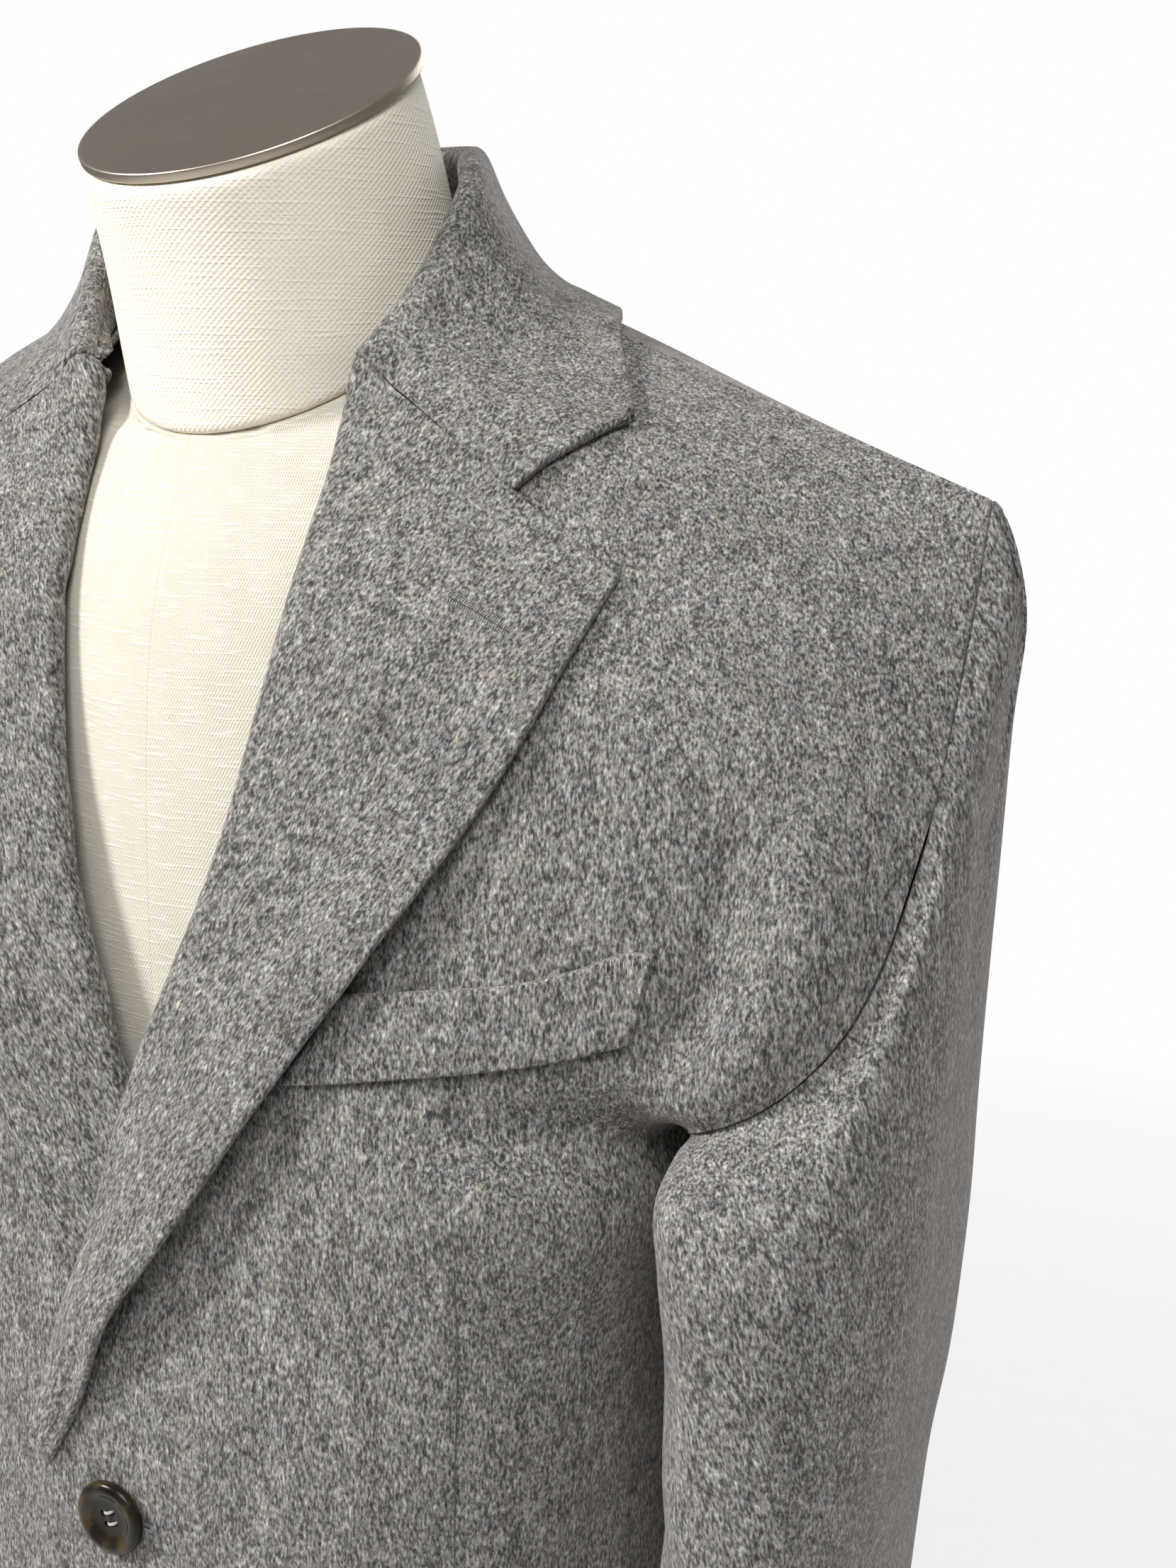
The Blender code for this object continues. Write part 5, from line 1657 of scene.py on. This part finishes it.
@dataclass
class Sewing:
    """Fine sewing: buttonholes, welt stitches, dart line; near-black parts are painted shadow."""

    stitch_length: float = 0.0014
    stitch_thickness: float = 0.00042
    hole_pitch: float = 0.00085
    purl_aside: float = 0.00105      # from the slit to the middle of a purl stitch
    purl_lean: float = 0.28
    lift: float = 0.00012            # of thread off the cloth
    bar_pitch: float = 0.0006
    seam_radius: float = 0.00030
    seam_points: int = 60

    def build(self, coat: Coat) -> None:
        """Make the sewing on the coat's pieces."""
        grey = SewingThread("buttonhole_silk", (0.30, 0.29, 0.28)).build()
        # near-black thread: painted shadow in the buttonhole slits and along the dart
        dark = SewingThread("seam_shadow_thread", (0.045, 0.044, 0.043)).build()
        cream = SewingThread("welt_silk", (0.52, 0.49, 0.44)).build()
        lapel = surface_tree(coat.pieces["lapel_left"])
        front = surface_tree(coat.pieces["front_left"])
        self.buttonhole("lapel_buttonhole", lapel, (0.1115, 1.4045), (0.1345, 1.3950), grey, dark)
        for name, z in (("top", 1.078), ("middle", 0.963), ("lower", 0.848)):
            self.buttonhole(f"buttonhole_{name}", front, (-0.006, z), (0.0195, z - 0.001), grey,
                            dark)
        self.welt_stitches(surface_tree(coat.pieces["chest_welt"]), cream)
        # the dart's line is near-black thread: a painted shadow along the seam
        self.seam_line("dart_shadow_line", front, ((0.134, 1.200), (0.1315, 1.130), (0.126, 1.010)), dark)

    @staticmethod
    def on_surface(tree: BVHTree, x: float, z: float) -> tuple[Vector, Vector]:
        """Point and normal of a surface straight behind a front-view place."""
        return tree.ray_cast(Vector((x, -0.6, z)), Vector((0.0, 1.0, 0.0)))[:2]

    @staticmethod
    def stitch(name: str, centre: Vector, along: Vector, facing: Vector, length: float,
               thickness: float) -> Piece:
        """One small rounded stitch.

        Args:
            name: its name.
            centre: its middle.
            along: the direction in which it runs.
            facing: the cloth's normal.
            length: its length.
            thickness: its thickness.

        Returns:
            The stitch.
        """
        clear_selection()
        bpy.ops.mesh.primitive_uv_sphere_add(segments=8, ring_count=6, radius=0.5)
        made = bpy.context.object
        made.name = name
        along = (along - facing * along.dot(facing)).normalized()
        side = facing.cross(along)
        turn = Matrix((along, side, facing)).transposed().to_4x4()
        made.data.transform(Matrix.Diagonal((length, thickness, thickness, 1.0)))
        made.data.transform(Matrix.Translation(centre) @ turn)
        made.data.shade_smooth()
        return made

    def buttonhole(self, name: str, tree: BVHTree, start: tuple[float, float],
                   end: tuple[float, float], silk: Material, dark: Material) -> None:
        """Two rows of purl stitches beside a slit, with a bar at one end and painted shadow in the
        slit.

        Args:
            name: the piece's name.
            tree: the surface that it is worked in.
            start: front-view place of its first end.
            end: front-view place of its barred end.
            silk: the stitches' material.
            dark: the material of the painted shadow in the slit.
        """
        first, _ = self.on_surface(tree, *start)
        last, across = self.on_surface(tree, *end)
        along = (last - first).normalized()
        count = int((last - first).length / self.hole_pitch)
        stitches = []
        slit = []
        for i in range(count + 1):
            share = i / count
            x = start[0] + (end[0] - start[0]) * share
            z = start[1] + (end[1] - start[1]) * share
            place, normal = self.on_surface(tree, x, z)
            side = normal.cross(along).normalized()
            for sign in (-1.0, 1.0):
                lean = along * (self.purl_lean * sign)
                centre = place + side * sign * self.purl_aside + normal * self.lift
                stitches.append(self.stitch(name, centre, side + lean, normal,
                                            self.stitch_length, self.stitch_thickness * 1.15))
            # near-black strips along the slit: painted shadow in its opening
            if 0 < i < count:
                slit.append(self.stitch(name, place + normal * 0.00004, along, normal,
                                        self.hole_pitch * 1.6, self.stitch_thickness))
        side = across.cross(along).normalized()
        for k in range(-2, 3):
            centre = last + along * 0.0008 + side * k * self.bar_pitch + across * self.lift
            stitches.append(self.stitch(name, centre, along, across, 0.0015, 0.00045))
        finish_piece(join_pieces(stitches, name), silk)
        finish_piece(join_pieces(slit, name + "_slit"), dark)

    def welt_stitches(self, tree: BVHTree, silk: Material) -> None:
        """Light stitches at the upper outer corner of the welt."""
        made = []
        for k in range(11):
            x = 0.1735 + 0.00125 * k
            z = 1.3035 - 0.0006 * ((k * 7) % 5) - 0.0018
            found, facing = self.on_surface(tree, x, z)
            if found is None:
                continue
            lean = Vector((0.10 * ((k * 5) % 7 - 3) / 3.0, 0.0, 1.0))
            made.append(self.stitch("welt_stitch", found + facing * 0.0001, lean, facing,
                                    0.0026 + 0.0005 * (k % 3), 0.00034))
        finish_piece(join_pieces(made, "welt_stitches"), silk)

    def seam_line(self, name: str, tree: BVHTree, route: tuple[tuple[float, float], ...],
                  dark: Material) -> None:
        """Thread sunk in a seam.

        Args:
            name: the piece's name.
            tree: the surface that it lies in.
            route: front-view places along the seam.
            dark: its material, near-black for the painted shadow.
        """
        shares, corners = (np.linspace(0, 1, n) for n in (self.seam_points, len(route)))
        places = []
        for x, z in zip(*(np.interp(shares, corners, values) for values in zip(*route))):
            found, facing = self.on_surface(tree, x, z)
            places.append(tuple(found - facing * self.lift))
        line = swept_thread(name, "POLY", places, self.seam_radius, 1)
        line.data.shade_smooth()
        finish_piece(line, dark)


# ---------------------------------------------------------------- studio
@dataclass
class Studio:
    """Floor, light and camera."""

    eye: Point = (0.405, -0.550, 1.490)
    azimuth: float = math.radians(28.0)
    tilt: float = math.radians(15.0)
    focal_pixels: float = 2500.0
    picture_height: float = 2212.0
    sensor: float = 36.0
    sky: float = 0.235

    LIGHTS = (                   # name, place, aim, side and power in watts
        ("key", (-1.6, -1.6, 2.9), (0.10, -0.05, 1.30), 0.6, 84.0),
        ("top", (0.9, -1.5, 3.3), (0.12, 0.0, 1.35), 1.2, 54.0),
        ("rear", (-0.2, 2.8, 2.8), (0.0, 0.0, 1.2), 2.2, 36.0),
    )

    def build(self) -> None:
        """Make the studio."""
        self.floor()
        self.backdrop()
        self.lights()
        self.camera()

    def floor(self) -> None:
        """Wide pale floor."""
        clear_selection()
        bpy.ops.mesh.primitive_plane_add(size=60.0, location=(0.0, 0.0, -0.0002))
        floor = bpy.context.object
        floor.name = "studio_floor"
        settle_transform(floor)
        floor.data.materials.append(StudioPaint("studio_paint").build())

    def backdrop(self) -> None:
        """White behind everything, which lights it only softly."""
        world = bpy.data.worlds.new("studio_sky")
        world.use_nodes = True
        board = NodeBoard(world.node_tree)
        soft = world.node_tree.nodes["Background"]
        seen = board.node("ShaderNodeBackground")
        for node in (soft, seen):
            node.inputs["Color"].default_value = (1.0, 1.0, 1.0, 1.0)
        soft.inputs["Strength"].default_value = self.sky
        board.choose(board.node("ShaderNodeLightPath").outputs["Is Camera Ray"], soft, seen,
                     world.node_tree.nodes["World Output"])
        bpy.context.scene.world = world

    def lights(self) -> None:
        """Soft light from above, from the left of the camera and from behind."""
        for name, place, aim, side, power in self.LIGHTS:
            lamp = bpy.data.lights.new(name, "AREA")
            lamp.size = side
            lamp.energy = power
            holder = new_object(name, lamp)
            holder.location = place
            way = Vector(aim) - Vector(place)
            holder.rotation_euler = way.to_track_quat("-Z", "Y").to_euler()

    def camera(self) -> None:
        """Camera at the photograph's place, angle and lens."""
        lens = bpy.data.cameras.new("camera")
        lens.sensor_fit = "VERTICAL"
        lens.sensor_height = self.sensor
        lens.lens = self.focal_pixels / self.picture_height * self.sensor
        lens.clip_start = 0.01
        holder = new_object("camera", lens)
        holder.location = self.eye
        ahead = Vector((-math.sin(self.azimuth) * math.cos(self.tilt),
                        math.cos(self.azimuth) * math.cos(self.tilt), -math.sin(self.tilt)))
        holder.rotation_euler = ahead.to_track_quat("-Z", "Y").to_euler()
        bpy.context.scene.camera = holder
        bpy.context.scene.view_settings.view_transform = "Standard"
        bpy.context.scene.view_settings.look = "None"


def main() -> None:
    """Build every piece in order."""
    logging.basicConfig(level=logging.INFO, format="%(name)s: %(message)s")
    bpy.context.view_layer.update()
    build_fibres()
    build_weave()
    build_grime()
    coat = Coat()
    coat.build()
    Buttons().build(coat)
    Sewing().build(coat)
    DressForm().build()
    Stand().build()
    Studio().build()


if __name__ == "__main__":
    main()
